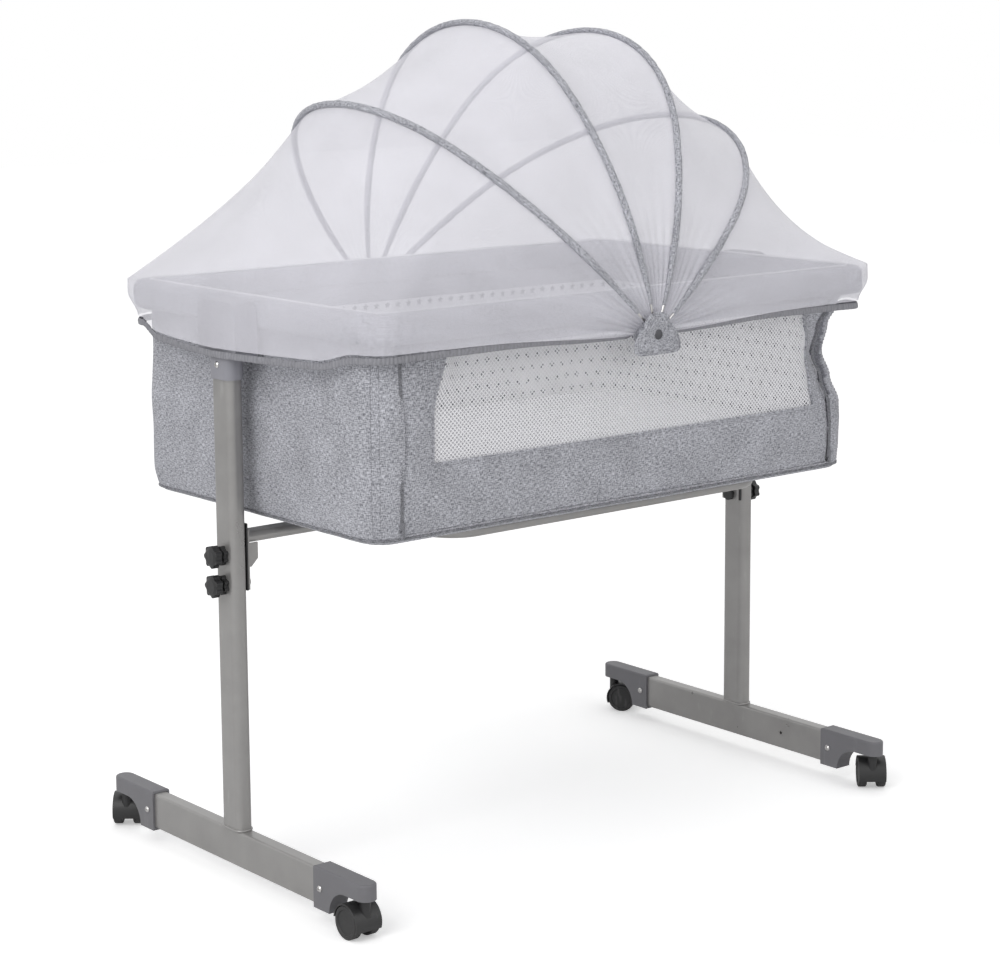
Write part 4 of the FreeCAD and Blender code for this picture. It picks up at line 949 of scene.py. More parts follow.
FINISHES = {
    "grey_cloth": cloth_finish,
    "rim_cloth": lambda name: cloth_finish(name, 1.04),
    "zip_tape": lambda name: cloth_finish(name, 0.55),
    "star_cloth": star_finish,
    "mattress_cloth": plain_cloth_finish,
    "white_mesh": mesh_finish,
    "white_net": net_finish,
    "hem_elastic": elastic_finish,
    # White piping on the mattress; the same white also paints the highlight cord along the rim's top.
    "white_piping": lambda name: hard_finish(name, "lining", 1500.0, 0.0, 0.8, 0.0, 0.0003),
    "sewing_thread": lambda name: hard_finish(name, "elastic", 1800.0, 0.0, 0.8, 0.0, 0.0002),
    "frame_paint": lambda name: hard_finish(name, "paint", 900.0, 0.25, 0.33, 0.5, 0.00006),
    "end_plastic": lambda name: hard_finish(name, "end_plastic", 1400.0, 0.12, 0.50, 0.0, 0.00012),
    "bracket_plastic": lambda name: hard_finish(name, "bracket", 1400.0, 0.10, 0.48, 0.0, 0.00010),
    "black_plastic": lambda name: hard_finish(name, "black_plastic", 1100.0, 0.08, 0.42, 0.0, 0.00010),
    "wheel_plastic": lambda name: hard_finish(name, "wheel", 700.0, 0.15, 0.55, 0.0, 0.00015),
    "bright_steel": lambda name: hard_finish(name, "steel", 1600.0, 0.10, 0.27, 1.0, 0.00003),
    "dark_steel": lambda name: hard_finish(name, "rivet", 1600.0, 0.10, 0.35, 1.0, 0.00004),
    "board_wood": lambda name: hard_finish(name, "board", 500.0, 0.05, 0.75, 0.0, 0.00020),
}


# ---------------------------------------------------------------- bassinet


def seam_lines(name, seams, offset, row_at, out_at, sizes):
    """Two rows of stitches along each seam, as one piece.

    row_at(seam, side) gives the points of the row that far from a seam, and out_at(seam) the way out there.
    """
    lines = []
    for index, seam in enumerate(seams):
        for side in (-offset, offset):
            path = row_at(seam, side)
            label = f"{name}_{index}_{side}"
            lines.append(stitches(label, path, out_at(seam), sizes.stitch, sizes.stitch * STITCH_STEP))
    sewn = joined(name, *lines)
    hand_over(sewn, "stand", "grey_cloth", finish("sewing_thread"))


def rim_padding(sizes):
    """The soft cover round the rim tube, sewn at its corners, with a white cord along its inner top edge that
    stands in for the light on its top as a painted highlight.
    """
    width, height = RIM["width"], RIM["height"]
    ring = (RIM["length"] - width, RIM["depth"] - width, RIM["corner"] - width / 2)
    seams = corner_marks(*ring)
    middle = RIM["top"] - height / 2
    squareness = 0.62
    seam_reach, pull_reach, pull_depth = 0.004, 0.05, 0.0006

    def place(distance, turn):
        spot, out = ring_spot(*ring, distance)
        wide, tall = math.cos(turn), math.sin(turn)
        level = math.copysign(abs(wide) ** squareness, wide) * width / 2
        rise = math.copysign(abs(tall) ** squareness, tall) * height / 2
        point = spot + out * level + UP * (middle + rise)
        swell = 0.5 * relief(point, sizes)
        for seam in seams:
            beyond = distance - seam
            swell -= sizes.seam * math.exp(-((beyond / seam_reach) ** 2))
            pull = math.exp(-abs(beyond) / pull_reach) * math.sin(beyond * 190 + 4 * wide)
            swell += pull_depth * pull * max(0.0, 0.4 + wide)
        return point + (out * wide + UP * tall) * swell

    cover = woven("rim_padding_cover", round_ring(ring, 0.0036), turns(36), place)
    close_seams(cover)
    smooth(cover)
    hand_over(cover, "stand", "rim_cloth", finish("rim_cloth"), "rim_padding")

    # Painted highlight: a white cord raised just above the rim's inner top edge stands in for the light
    # falling on the rim's top.
    inset, above_rim, cord = 0.022, 0.0004, 0.0013
    edge_ring = (RIM["length"] - 2 * inset, RIM["depth"] - 2 * inset, RIM["corner"] - inset)
    top = UP * (RIM["top"] + above_rim)
    path = [ring_spot(*edge_ring, distance)[0] + top for distance in round_ring(edge_ring, 0.006)]
    hand_over(tube("rim_piping", path, cord), "stand", "star_cloth", finish("white_piping"))

    outer_turns = turns(48)[:22]
    seam_lines(
        "rim_seam_stitches", seams, SEAM_MARGIN,
        lambda seam, side: [place(seam + side, turn) for turn in outer_turns],
        lambda seam: ring_spot(*ring, seam)[1], sizes,
    )


def body_swell(point, sizes):
    """How far the body's cloth stands out of its flat walls."""
    share = (point.z - BODY["bottom"]) / (BODY["top"] - BODY["bottom"])
    swell = sizes.bulge * math.sin(math.pi * min(1, max(0, share))) ** 0.7
    return swell + relief(point, sizes)


def bassinet_shell(sizes):
    """The cloth tub with its corner seams, its piping and the hole for the drop panel."""
    ring = (BODY["length"], BODY["depth"], BODY["corner"])
    whole = ring_length(*ring)
    seams = corner_marks(*ring)
    fold, floor, spacing = 0.0100, 0.030, 0.0055
    seam_reach, floor_sag = 0.0035, 0.0015
    arc = fold * math.pi / 2

    def profile(height):
        """(inset, level) along the way from the floor, round the fold and up the wall."""
        if height < 0:
            return fold - height, BODY["bottom"]
        if height < arc:
            turn = height / fold
            return fold * (1 - math.sin(turn)), BODY["bottom"] + fold * (1 - math.cos(turn))
        return 0.0, BODY["bottom"] + fold + height - arc

    def on_wall(level):
        return level - BODY["bottom"] - fold + arc

    def dressed(distance, height):
        inset, level = profile(height)
        spot, out = ring_spot(*ring, distance)
        point = spot - out * inset + UP * level
        swell = body_swell(point, sizes) if height > 0 else 0.0
        for seam in seams:
            swell -= sizes.seam * math.exp(-(((distance - seam) / seam_reach) ** 2))
        sag = UP * (-floor_sag * ease(-height / floor))
        return point + out * swell + sag + slack_corner(point) + tuck(point)

    columns = stations([0, HOLE["half"], *seams, whole - HOLE["half"], whole], spacing)
    levels = (HOLE["bottom"], HOLE["top"], BODY["top"] + SEWN_IN)
    rows = stations([-floor, 0, arc, *(on_wall(level) for level in levels)], spacing)
    tub = woven("bassinet_cloth_tub", columns, rows, dressed)

    def in_hole(middle):
        near_front = middle.y < -BODY["depth"] / 2 + 0.045
        inside = abs(middle.x) < HOLE["half"] - 0.0005
        return near_front and inside and HOLE["bottom"] < middle.z < HOLE["top"]

    remove_faces(tub, in_hole)
    merge_doubles(tub)
    low_edge = BODY["bottom"] + 0.004
    fill_edges(tub, lambda: open_edges_below(tub, low_edge))
    apply_modifier(tub, "SOLIDIFY", thickness=CLOTH - 0.0003, offset=-1)
    smooth(tub, 50)
    hand_over(tub, "stand", "grey_cloth", finish("grey_cloth"), "bassinet_shell")

    path = [dressed(distance, arc * 0.8) - UP * 0.0006 for distance in columns]
    welt = tube("bassinet_bottom_piping", path, sizes.piping)
    hand_over(welt, "stand", "grey_cloth", finish("zip_tape"))

    def out_at(seam):
        return ring_spot(*ring, seam)[1]

    tall = stations([arc, on_wall(BODY["top"]) - SEAM_MARGIN], 0.006)
    seam_lines(
        "corner_seam_stitches", seams, 0.0045,
        lambda seam, side: [dressed(seam + side, height) + out_at(seam) * 0.0001 for height in tall],
        out_at, sizes,
    )


def window_edge(point):
    """The shift that rounds the window's upper corners and bows its left edge."""
    bend = 1.3
    shift = 0.0
    # For each edge: its shift at the top, where it starts, over what height, and how far it reaches sideways.
    for edge, most, start, height, reach in (
        ("left", 0.020, 0.585, 0.080, 0.044),
        ("right", -0.018, 0.615, 0.055, 0.030),
    ):
        pulled = most * ease((point.z - start) / height) ** bend
        shift += pulled * ease(1 - abs(point.x - WINDOW[edge]) / reach)
    return Vector((shift, 0, 0))


def panel_creases(point):
    """Slanting creases in the band under the window."""
    depth, fade, waves = 0.0011, 0.03, 78
    low = ease((WINDOW["bottom"] - point.z) / fade)
    slant = point.x * 0.9 + point.z * 1.9
    wave = math.sin(slant * waves + 3 * noise.noise(point * 7))
    patches = ease(noise.noise(Vector((point.x * 5 + 3, 0, 1))) * 2 + 0.45)
    return depth * low * wave * patches


def drop_panel(sizes):
    """The front side round its mesh window."""
    clearance = 0.0006
    half = HOLE["half"] - clearance
    low, high = HOLE["bottom"] + clearance, HOLE["top"] - clearance
    front = -BODY["depth"] / 2
    hem_width, seam_reach, seam_depth = 0.012, 0.004, 0.45

    def into_window(x, z):
        """How far inside the window a place is, below 0 outside it."""
        return min(x - WINDOW["left"], WINDOW["right"] - x, z - WINDOW["bottom"], WINDOW["top"] - z)

    def place(x, z):
        point = Vector((x, front, z))
        edge = min(x + half, half - x, z - low, high - z)
        hem = ease(edge / hem_width) * (1 - seam_depth * math.exp(-abs(into_window(x, z)) / seam_reach))
        swell = (body_swell(point, sizes) + panel_creases(point)) * hem
        return point + window_edge(point) + Vector((0, -swell, 0)) + slack_corner(point) + tuck(point)

    columns = stations([-half, WINDOW["left"], WINDOW["right"], half], 0.0052)
    rows = stations([low, WINDOW["bottom"], WINDOW["top"], high], 0.0048)
    panel = woven("drop_panel_cloth", columns, rows, lambda x, z: Vector((x, front, z)))
    remove_faces(panel, lambda middle: into_window(middle.x, middle.z) > 0)
    move_points(panel, lambda point: place(point.x, point.z) - point)
    face_from(panel, MIDDLE)
    apply_modifier(panel, "SOLIDIFY", thickness=CLOTH - 0.0004, offset=-1)
    smooth(panel, 50)
    hand_over(panel, "front_panel", "grey_cloth", finish("grey_cloth"), "drop_panel")

    left, right = WINDOW["left"] - SEAM_MARGIN, WINDOW["right"] + SEAM_MARGIN
    bottom, top = WINDOW["bottom"] - SEAM_MARGIN, WINDOW["top"] + SEAM_MARGIN
    turning = [(left, bottom), (left, top), (right, top), (right, bottom), (left, bottom)]
    outline = [turning[0]]
    for (x, z), (next_x, next_z) in zip(turning, turning[1:]):
        length = abs(next_x - x) + abs(next_z - z)
        for run in stations([0, length], 0.005)[1:]:
            outline.append((x + (next_x - x) * run / length, z + (next_z - z) * run / length))
    path = [place(x, z) + Vector((0, -0.0002, 0)) for x, z in outline]
    sewn = stitches("window_stitches", path, (0, -1, 0), sizes.stitch * 0.8, sizes.stitch * 1.3)
    hand_over(sewn, "front_panel", "grey_cloth", finish("sewing_thread"))


def mesh_window(sizes):
    """The white mesh sewn into the drop panel."""
    lap, spacing, sag_depth = 0.005, 0.010, 0.0016
    level = -BODY["depth"] / 2 + CLOTH / 2

    def place(x, z):
        point = Vector((x, level, z))
        sag = sag_depth * math.sin((x - WINDOW["left"]) * 5) + 0.4 * relief(point, sizes)
        return point + window_edge(point) + Vector((0, -sag, 0)) + slack_corner(point)

    columns = stations([WINDOW["left"] - lap, WINDOW["right"] + lap], spacing)
    rows = stations([WINDOW["bottom"] - lap, WINDOW["top"] + lap], spacing)
    mesh = woven("mesh_window_cloth", columns, rows, place)
    face_from(mesh, MIDDLE)
    smooth(mesh)
    hand_over(mesh, "front_panel", "white_mesh", finish("white_mesh"), "mesh_window")


def panel_zips(sizes):
    """The zips along the drop panel's upright edges: tape, teeth and slider."""
    front = -BODY["depth"] / 2
    end_gap, from_hole, sunk = 0.005, 0.0028, 0.0006
    low, high = HOLE["bottom"] + end_gap, HOLE["top"] - end_gap
    middle = HOLE["half"] + from_hole
    tape_half, tape_thickness, tooth_shift, tooth_rise = 0.0024, 0.0009, 0.0008, 0.0007
    parts = []
    for side, sign in SIDES.items():

        def place(x, z, proud=0.0, sign=sign):
            point = Vector((sign * middle + x, front - sunk, z))
            swell = body_swell(Vector((sign * HOLE["half"], front, z)), sizes) * 0.6
            return point + Vector((0, -swell, 0)) + slack_corner(point) + tuck(point) - Vector((0, proud, 0))

        columns = stations([-tape_half, tape_half], tape_half / 2)
        tape = woven(f"{side}_zip_tape", columns, stations([low, high], 0.006), place)
        face_from(tape, MIDDLE)
        apply_modifier(tape, "SOLIDIFY", thickness=tape_thickness, offset=0)
        tooth = small_block((0.0018, 0.0009, 0.0010), (0, 0, 0), 0.0003, 1)
        places = []
        for index, z in enumerate(stations([low + 0.004, high - 0.002], sizes.tooth / 2)):
            shift = tooth_shift if index % 2 else -tooth_shift
            places.append(Matrix.Translation(place(shift, z, tooth_rise)))
        teeth = copies(f"{side}_zip_teeth", tooth, places)
        slider = small_block((0.0062, 0.0030, 0.0090), place(0, low + 0.007, 0.0012), 0.0009, 2)
        pull = small_block((0.0036, 0.0011, 0.0150), place(0, low + 0.001, 0.0032), 0.0004, 2)
        parts += [tape, teeth, slider, pull]
    zips = joined("panel_zip_pair", *parts)
    smooth(zips, 40)
    hand_over(zips, "stand", "zip_tape", finish("zip_tape"), "panel_zips")


def star_lining(sizes):
    """The printed lining inside the back wall and the two ends."""
    gap, past_corner, above_floor = CLOTH + 0.0008, 0.005, 0.0095
    ring = (BODY["length"] - 2 * gap, BODY["depth"] - 2 * gap, BODY["corner"] - gap)
    start = corner_marks(*ring)[0] + math.pi * ring[2] / 4 + past_corner
    end = ring_length(*ring) - start
    low, high = BODY["bottom"] + above_floor, 0.6580
    seam_depth, seam_reach = 0.0011, 0.004

    def place(distance, z):
        spot, out = ring_spot(*ring, distance)
        point = spot + UP * z
        top_seam = seam_depth * math.exp(-(((high - z) / seam_reach) ** 2))
        swell = body_swell(point, sizes) * 0.85 - top_seam
        return point + out * swell + slack_corner(point) + tuck(point)

    columns, rows = stations([start, end], 0.007), stations([low, high], 0.006)
    lining = woven("star_lining_cloth", columns, rows, place)
    face_from(lining, MIDDLE, inwards=True)
    smooth(lining)
    hand_over(lining, "stand", "star_cloth", finish("star_cloth"), "star_lining")


def mattress(sizes):
    """The mattress: crowned, drawn in between its piped edges, with sewn diamonds on top."""
    low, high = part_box("mattress")
    length, depth = high.x - low.x, high.y - low.y
    ring = (length, depth, 0.031)
    crown, edge_inset, rings_on_top = 0.003, 0.0080, 36
    sewn_depth, sewn_reach = 0.0032, 0.007
    edge_height = high.z - low.z - crown
    cord, cord_inset = 0.0020, 0.0022
    pucker_depth, puckers = 0.0005, 130

    def from_line(value):
        """How far a place is from the nearest sewn line."""
        return abs(value / sizes.quilt - round(value / sizes.quilt)) * sizes.quilt

    def top_height(x, y):
        across = 1 - (2 * abs(x) / length) ** 2.5
        along = 1 - (2 * abs(y) / depth) ** 2.5
        nearest = min(from_line(x + y), from_line(x - y))
        sewn = sewn_depth * math.exp(-((nearest / sewn_reach) ** 2))
        crowned = crown * max(0, across) * max(0, along)
        return high.z - crown + crowned - sewn * ease(min(across, along) * 3)

    # Each row of the side: how far in from the widest outline, and the share of its height.
    lower = [(edge_inset, 0.00), (0.0030, 0.04), (0.0006, 0.14), (0.0022, 0.30)]
    side = [*lower, (0.0034, 0.50), *((inset, 1 - share) for inset, share in reversed(lower))]

    def place(distance, row):
        spot, out = ring_spot(*ring, distance)
        if row < len(side):
            inset, share = side[row]
            near_middle = math.exp(-(((share - 0.5) / 0.3) ** 2))
            pucker = pucker_depth * math.sin(distance * puckers) * near_middle
            return spot - out * (inset + pucker) + UP * (low.z + share * edge_height)
        inner = (spot - out * edge_inset) * (1 - min(1, (row - len(side) + 1) / rings_on_top))
        return Vector((inner.x, inner.y, top_height(inner.x, inner.y)))

    pad = woven("mattress_pad", round_ring(ring, 0.009), list(range(len(side) + rings_on_top)), place)
    merge_doubles(pad)
    # The underside is open, and so is a thin slit where the puckers' first and last places differ.
    fill_edges(pad, lambda: bpy.ops.mesh.select_non_manifold(extend=False))
    smooth(pad)
    hand_over(pad, "stand", "mattress_cloth", finish("mattress_cloth"), "mattress")
    cords = []
    for share in (0.06, 0.94):
        path = []
        for distance in round_ring(ring, 0.008):
            spot, out = ring_spot(*ring, distance)
            path.append(spot - out * cord_inset + UP * (low.z + share * edge_height))
        cords.append(tube(f"mattress_piping_{share}", path, cord))
    hand_over(joined("mattress_piping", *cords), "stand", "mattress_cloth", finish("white_piping"))


# ---------------------------------------------------------------- canopy


def hoop_sleeves():
    """The cloth tubes round the four hoop wires, drawn in towards their feet."""
    count, foot_steps, foot_share, crinkle_depth = 260, 22, 0.62, 0.0006
    for number, (hoop, shape) in enumerate(HOOPS.items()):
        tilt = math.radians(shape["tilt"])
        square = Vector((math.cos(tilt), 0, -math.sin(tilt)))

        def middle(step, hoop=hoop, shape=shape):
            share = min(1, max(0, step / count))
            return fan_point(hoop_spot(hoop, share, 0.0, SLEEVE_FOOT), shape["tilt"])

        def place(step, turn, number=number, square=square, middle=middle):
            ahead = (middle(step + 1) - middle(step - 1)).normalized()
            side = ahead.cross(square)
            level, rise = math.cos(turn), math.sin(turn)
            crinkle = noise.noise(Vector((step * 0.37, 2 * level, 2 * rise + 7 * number)))
            drawn = foot_share + (1 - foot_share) * ease(min(step, count - step) / foot_steps)
            radius = (SLEEVE_RADIUS + crinkle_depth * (crinkle + abs(rise) ** 4)) * drawn
            if step in (0, count):
                radius = 0.0
            return middle(step) + (side * level + square * rise) * radius

        sleeve = woven(f"{hoop}_hoop_cloth", list(range(count + 1)), turns(14), place)
        close_seams(sleeve)
        smooth(sleeve)
        hand_over(sleeve, f"{hoop}_hoop", "grey_cloth", finish("rim_cloth"), f"{hoop}_hoop_sleeve")


def pleated(point, share, sizes):
    """The net's pleats where it is gathered at the hub."""
    start, fade = 0.03, 0.11
    beyond = max(0.0, math.hypot(point.x, point.z - HUB_HEIGHT) - start)
    depth = sizes.pleat * math.exp(-((beyond / fade) ** 2))
    wave = math.sin(2 * math.pi * sizes.pleats * share + 0.6)
    return Vector((0, math.copysign(depth * wave, point.y), 0))


def net_relief(point, share):
    """Soft unevenness of hanging net, none at its sewn edges."""
    depth = 0.0022
    out = Vector((point.x, 0, point.z - HUB_HEIGHT))
    amount = depth * noise.noise(Vector((point.x * 7, point.y * 7, point.z * 5)))
    return out.normalized() * amount * math.sin(math.pi * min(1, max(0, share)))


def net_piece(name, node, columns, rows, place):
    """One net: formed, turned outwards, smoothed, given its finish and its transform baked into its points.
    """
    net = woven(name, columns, rows, place)
    face_from(net, Vector((0, 0, HUB_HEIGHT)))
    smooth(net)
    hand_over(net, None, "white_net", finish("white_net"), node)
    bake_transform(net)
    middle_row, middle_column = rows[len(rows) // 2], columns[len(columns) // 2]
    across = running([Vector(place(column, middle_row)) for column in columns])[-1]
    tall = running([Vector(place(middle_column, row)) for row in rows])[-1]


def net_panels(sizes):
    """The net between each two hoops."""
    names = list(HOOPS)
    gap = 0.00015
    columns = stations([0, 0.5, 1], 1 / 150)
    rows = stations([0, 1], 1 / 26)
    for first, second in zip(names, names[1:]):
        tilts = HOOPS[first]["tilt"], HOOPS[second]["tilt"]

        def place(share, along, first=first, second=second, tilts=tilts):
            start = fan_point(hoop_spot(first, share, NET_INSET, NET_FOOT), tilts[0], gap)
            end = fan_point(hoop_spot(second, share, NET_INSET, NET_FOOT), tilts[1], -gap)
            point = hang(start, end, along)
            return point + net_relief(point, along) + pleated(point, along, sizes)

        net_piece(
            f"{first}_panel_net", f"net_{first}_panel", columns, rows, place,
        )


def gathering(share, along, pitch):
    """The net's uneven gathers above the elastic, deepest at the rim's corners, and its long level folds."""
    corner_share, corner_width = 0.26, 0.045
    corner = math.exp(-(((min(share, 1 - share) - corner_share) / corner_width) ** 2))
    run = 2 * math.pi * share * HEM_LENGTH / pitch
    uneven = 2.5 * noise.noise(Vector((share * 24, along * 2, 3)))
    wave = 0.6 * math.sin(run + uneven) + 0.4 * math.sin(run * 0.57 - 2 * uneven)
    patches = ease(noise.noise(Vector((share * 9, 4, 2))) * 3)
    level_fold = math.sin(along * 46 + share * 31 + uneven) * patches
    near_hem = ease((along - 0.62) / 0.38)
    stir = (0.25 + 0.75 * corner) * wave + 0.35 * (1 - corner) * level_fold
    return near_hem * (0.5 + 0.5 * stir)


def net_skirts(sizes):
    """The net from the outermost hoops down over the rim."""
    ahead = RIM["length"] / 2 + NET_HANG
    edge_tilt = math.degrees(math.atan2(ahead, RIM["top"] + NET_HANG / 2 - HUB_HEIGHT))
    fall, gap, tuck_start = 0.80, 0.00015, 0.35
    for side, hoop, bodies in (
        ("left", "first", ("stand", "first_hoop")),
        ("right", "fourth", ("fourth_hoop", "net_edge")),
    ):
        sign = SIDES[side]
        tilt = HOOPS[hoop]["tilt"]

        def place(share, along, sign=sign, hoop=hoop, tilt=tilt):
            start = fan_point(hoop_spot(hoop, share, NET_INSET, NET_FOOT), tilt, sign * gap)
            edge = fan_point(rim_spot(edge_tilt, share, NET_FOOT), sign * edge_tilt)
            if along < fall:
                point = hang(start, edge, along / fall)
            else:
                low = fan_point(rim_spot(HEM_TILT, share, NET_FOOT), sign * HEM_TILT) + hem_lift(share)
                drop = (along - fall) / (1 - fall)
                point = edge.lerp(low, drop)
                tucked = hem_tuck(share) * ease((drop - tuck_start) / (1 - tuck_start))
                point -= out_of_rim(point) * tucked
            gathers = out_of_rim(point) * sizes.gather * gathering(share, along, sizes.gather_pitch)
            return point + net_relief(point, along / fall) + pleated(point, along, sizes) + gathers

        columns = stations([0, 0.5, 1], 1 / 330)
        rows = stations([0, fall, 1], 1 / 40)
        net_piece(
            f"{side}_skirt_net", f"net_{side}_skirt", columns, rows, place,
        )


def net_hems(sizes):
    """The gathered elastic along the net's lower edge."""
    least, most, half_thickness, end_share = 0.0030, 0.0042, 0.0011, 0.008
    crinkle_pitch = sizes.gather_pitch * 0.45
    even_depth, uneven_depth = 0.0007, 0.0012
    tilt = HEM_TILT + HEM_BAND / 2
    for side, body in (("left", "stand"), ("right", "net_edge")):
        sign = SIDES[side]

        def place(share, turn, sign=sign):
            spot = fan_point(rim_spot(tilt, share, NET_FOOT), sign * tilt) + hem_lift(share)
            reach = math.hypot(spot.x, spot.z - HUB_HEIGHT)
            half_height = max(least, min(most, reach * math.sin(math.radians(HEM_BAND)) / 2))
            taper = min(1.0, share / end_share, (1 - share) / end_share)
            level, rise = math.cos(turn), math.sin(turn)
            crinkle = even_depth * math.sin(2 * math.pi * share * HEM_LENGTH / crinkle_pitch)
            crinkle += uneven_depth * noise.noise(Vector((share * 150, level, rise + 5 * sign)))
            proud = (half_thickness * level + crinkle * taper) * taper - hem_tuck(share)
            return spot + out_of_rim(spot) * proud + UP * (half_height * rise * taper)

        band = woven(f"{side}_hem_band", stations([0, 0.5, 1], 1 / 520), turns(12), place)
        close_seams(band)
        smooth(band)
        hand_over(band, body, "hem_elastic", finish("hem_elastic"), f"net_{side}_hem")


def patch_reach(turn):
    """How far the fan-shaped patch reaches from the hub's axis at an angle."""
    widest, top, bottom, slant = 0.043, 0.027, 0.0245, 0.0262
    roundness = 9
    across, up = abs(math.cos(turn)), math.sin(turn)
    edges = (1 / widest, up / top, -up / bottom, (0.823 * across + 0.57 * up) / slant)
    return sum(max(0.0, edge) ** roundness for edge in edges) ** (-1 / roundness)


def hub_point(turn, reach, level):
    """A point round the hub's axis, level metres from the crib's middle."""
    return Vector((reach * math.cos(turn), level, HUB_HEIGHT + reach * math.sin(turn)))


def hub_patches(sizes):
    """On each side the round pad under the hoops' eyelets and the fan-shaped patch over them."""
    # Each row of the pad: how far from the hub's axis, and how far from the crib's middle.
    pad_rows = ((0.004, 0.2684), (0.0195, 0.2684), (0.0205, 0.2705), (0.0198, 0.2815), (0.0040, 0.2822))
    widest_row, puff_depth = 2, 0.0006
    dome, pleat_depth, rolled_depth, hole_share = 0.0016, 0.0008, 0.0005, 0.10
    parts = []
    for end, sign in ENDS.items():

        def patch(turn, share, sign=sign):
            pleat = pleat_depth * math.sin(7 * turn + 0.8) * share
            rolled = rolled_depth * ease((share - 0.80) / 0.2)
            level = PATCH_FACE + dome * math.sin(math.pi * share) + pleat - rolled
            reach = patch_reach(turn) * (hole_share + (1 - hole_share) * share)
            return hub_point(turn, reach, sign * level)

        fan = woven(f"{end}_fan_patch", turns(90), stations([0, 1], 1 / 14), patch)
        merge_doubles(fan)
        face_from(fan, Vector((0, 0, HUB_HEIGHT)))
        apply_modifier(fan, "SOLIDIFY", thickness=0.0012, offset=-1)

        def pad(turn, row, sign=sign):
            reach, level = pad_rows[row]
            puff = puff_depth * math.sin(9 * turn) if row == widest_row else 0.0
            return hub_point(turn, reach + puff, sign * level)

        disc = woven(f"{end}_hub_pad", turns(48), list(range(len(pad_rows))), pad)
        close_seams(disc)
        parts += [fan, disc]
    patches = joined("hub_cloth_patches", *parts)
    smooth(patches, 60)
    hand_over(patches, "stand", "grey_cloth", finish("grey_cloth"), "hub_patches")
    proud, from_edge = 0.0010, 0.0045
    for end, sign in ENDS.items():
        path = []
        for turn in turns(72):
            level = PATCH_FACE + proud + 0.0007 * math.sin(7 * turn + 0.8)
            path.append(hub_point(turn, patch_reach(turn) - from_edge, sign * level))
        sewn = stitches(f"{end}_patch_stitches", path, (0, sign, 0), sizes.stitch * 0.8, sizes.stitch * 1.2)
        hand_over(sewn, "stand", "grey_cloth", finish("sewing_thread"))


# ---------------------------------------------------------------- finishes on the frame's own nodes


def paint_nodes(name, nodes):
    """Puts a finish on nodes whose shape is already right."""
    material = finish(name)
    for node in nodes:
        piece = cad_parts[node]
        if not piece.material_slots:
            piece.data.materials.append(material)
        for slot in piece.material_slots:
            slot.material = material


def corners(ending):
    """A node name for each of the four feet."""
    return [f"{side}_{end}_{ending}" for side in SIDES for end in ENDS]


def weld_beads():
    """The small welds where each post stands on its foot tube."""
    bead, rise, corner, ripple = 0.0017, 0.0008, 0.0088, 0.0003
    parts = []
    for side in SIDES:
        low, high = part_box(f"{side}_post")
        middle = (low + high) / 2
        ring = (high.x - low.x, high.y - low.y, corner)
        path = []
        for distance in stations([0, ring_length(*ring)], 0.0022):
            spot = ring_spot(*ring, distance)[0]
            uneven = ripple * noise.noise(spot * 900)
            path.append(Vector((middle.x + spot.x, middle.y + spot.y, low.z + rise + uneven)))
        path[-1] = path[0].copy()
        parts.append(tube(f"{side}_weld", path, bead))
    hand_over(joined("post_weld_beads", *parts), "stand", "frame_paint", finish("frame_paint"))


# ---------------------------------------------------------------- stage


def pale_floor():
    """A pale floor that keeps the shadow near the crib and is white further off."""
    deselect()
    bpy.ops.mesh.primitive_plane_add(size=24)
    floor = bpy.context.object
    floor.name = "studio_floor"
    edit(floor, lambda: bpy.ops.mesh.subdivide(number_cuts=4))
    material, wiring, principled = new_material("pale_floor")
    place = wiring.add("ShaderNodeTexCoord").outputs["Object"]
    cloud = wiring.noise(place, 0.6)
    shade = wiring.mix(wiring.span(cloud, 0.3, 0.7), (0.93, 0.93, 0.93), (0.96, 0.96, 0.96))
    wiring.feed(principled.inputs["Base Color"], shade)
    principled.inputs["Roughness"].default_value = 0.9
    principled.inputs["Specular IOR Level"].default_value = 0.1
    seen = wiring.add("ShaderNodeLightPath").outputs["Is Camera Ray"]
    distance = wiring.add("ShaderNodeVectorMath", [("operation", "LENGTH")], Vector=place).outputs["Value"]
    near, far, near_glow, far_glow = 1.2, 5.0, 0.36, 0.55
    glow = wiring.span(distance, near, far, near_glow, far_glow)
    principled.inputs["Emission Color"].default_value = (1, 1, 1, 1)
    wiring.feed(principled.inputs["Emission Strength"], wiring.math("MULTIPLY", seen, glow))
    floor.data.materials.append(material)
    floor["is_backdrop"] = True


def white_world(scene):
    """Soft light from all round, which the camera and gloss see as plain white."""
    world = bpy.data.worlds.new("studio_white")
    scene.world = world
    world.use_nodes = True
    wiring = Wiring(world.node_tree)
    world.node_tree.nodes.clear()
    light = wiring.add("ShaderNodeBackground", Color=(1, 1, 1, 1), Strength=0.54)
    white = wiring.add("ShaderNodeBackground", Color=(1, 1, 1, 1), Strength=1.0)
    path = wiring.add("ShaderNodeLightPath").outputs
    direct = wiring.math("MAXIMUM", path["Is Camera Ray"], path["Is Glossy Ray"])
    seen = wiring.math("MAXIMUM", direct, path["Is Transmission Ray"])
    both = wiring.add("ShaderNodeMixShader", Fac=seen)
    wiring.feed(both.inputs[1], light.outputs[0])
    wiring.feed(both.inputs[2], white.outputs[0])
    output = wiring.add("ShaderNodeOutputWorld")
    wiring.feed(output.inputs["Surface"], both.outputs[0])


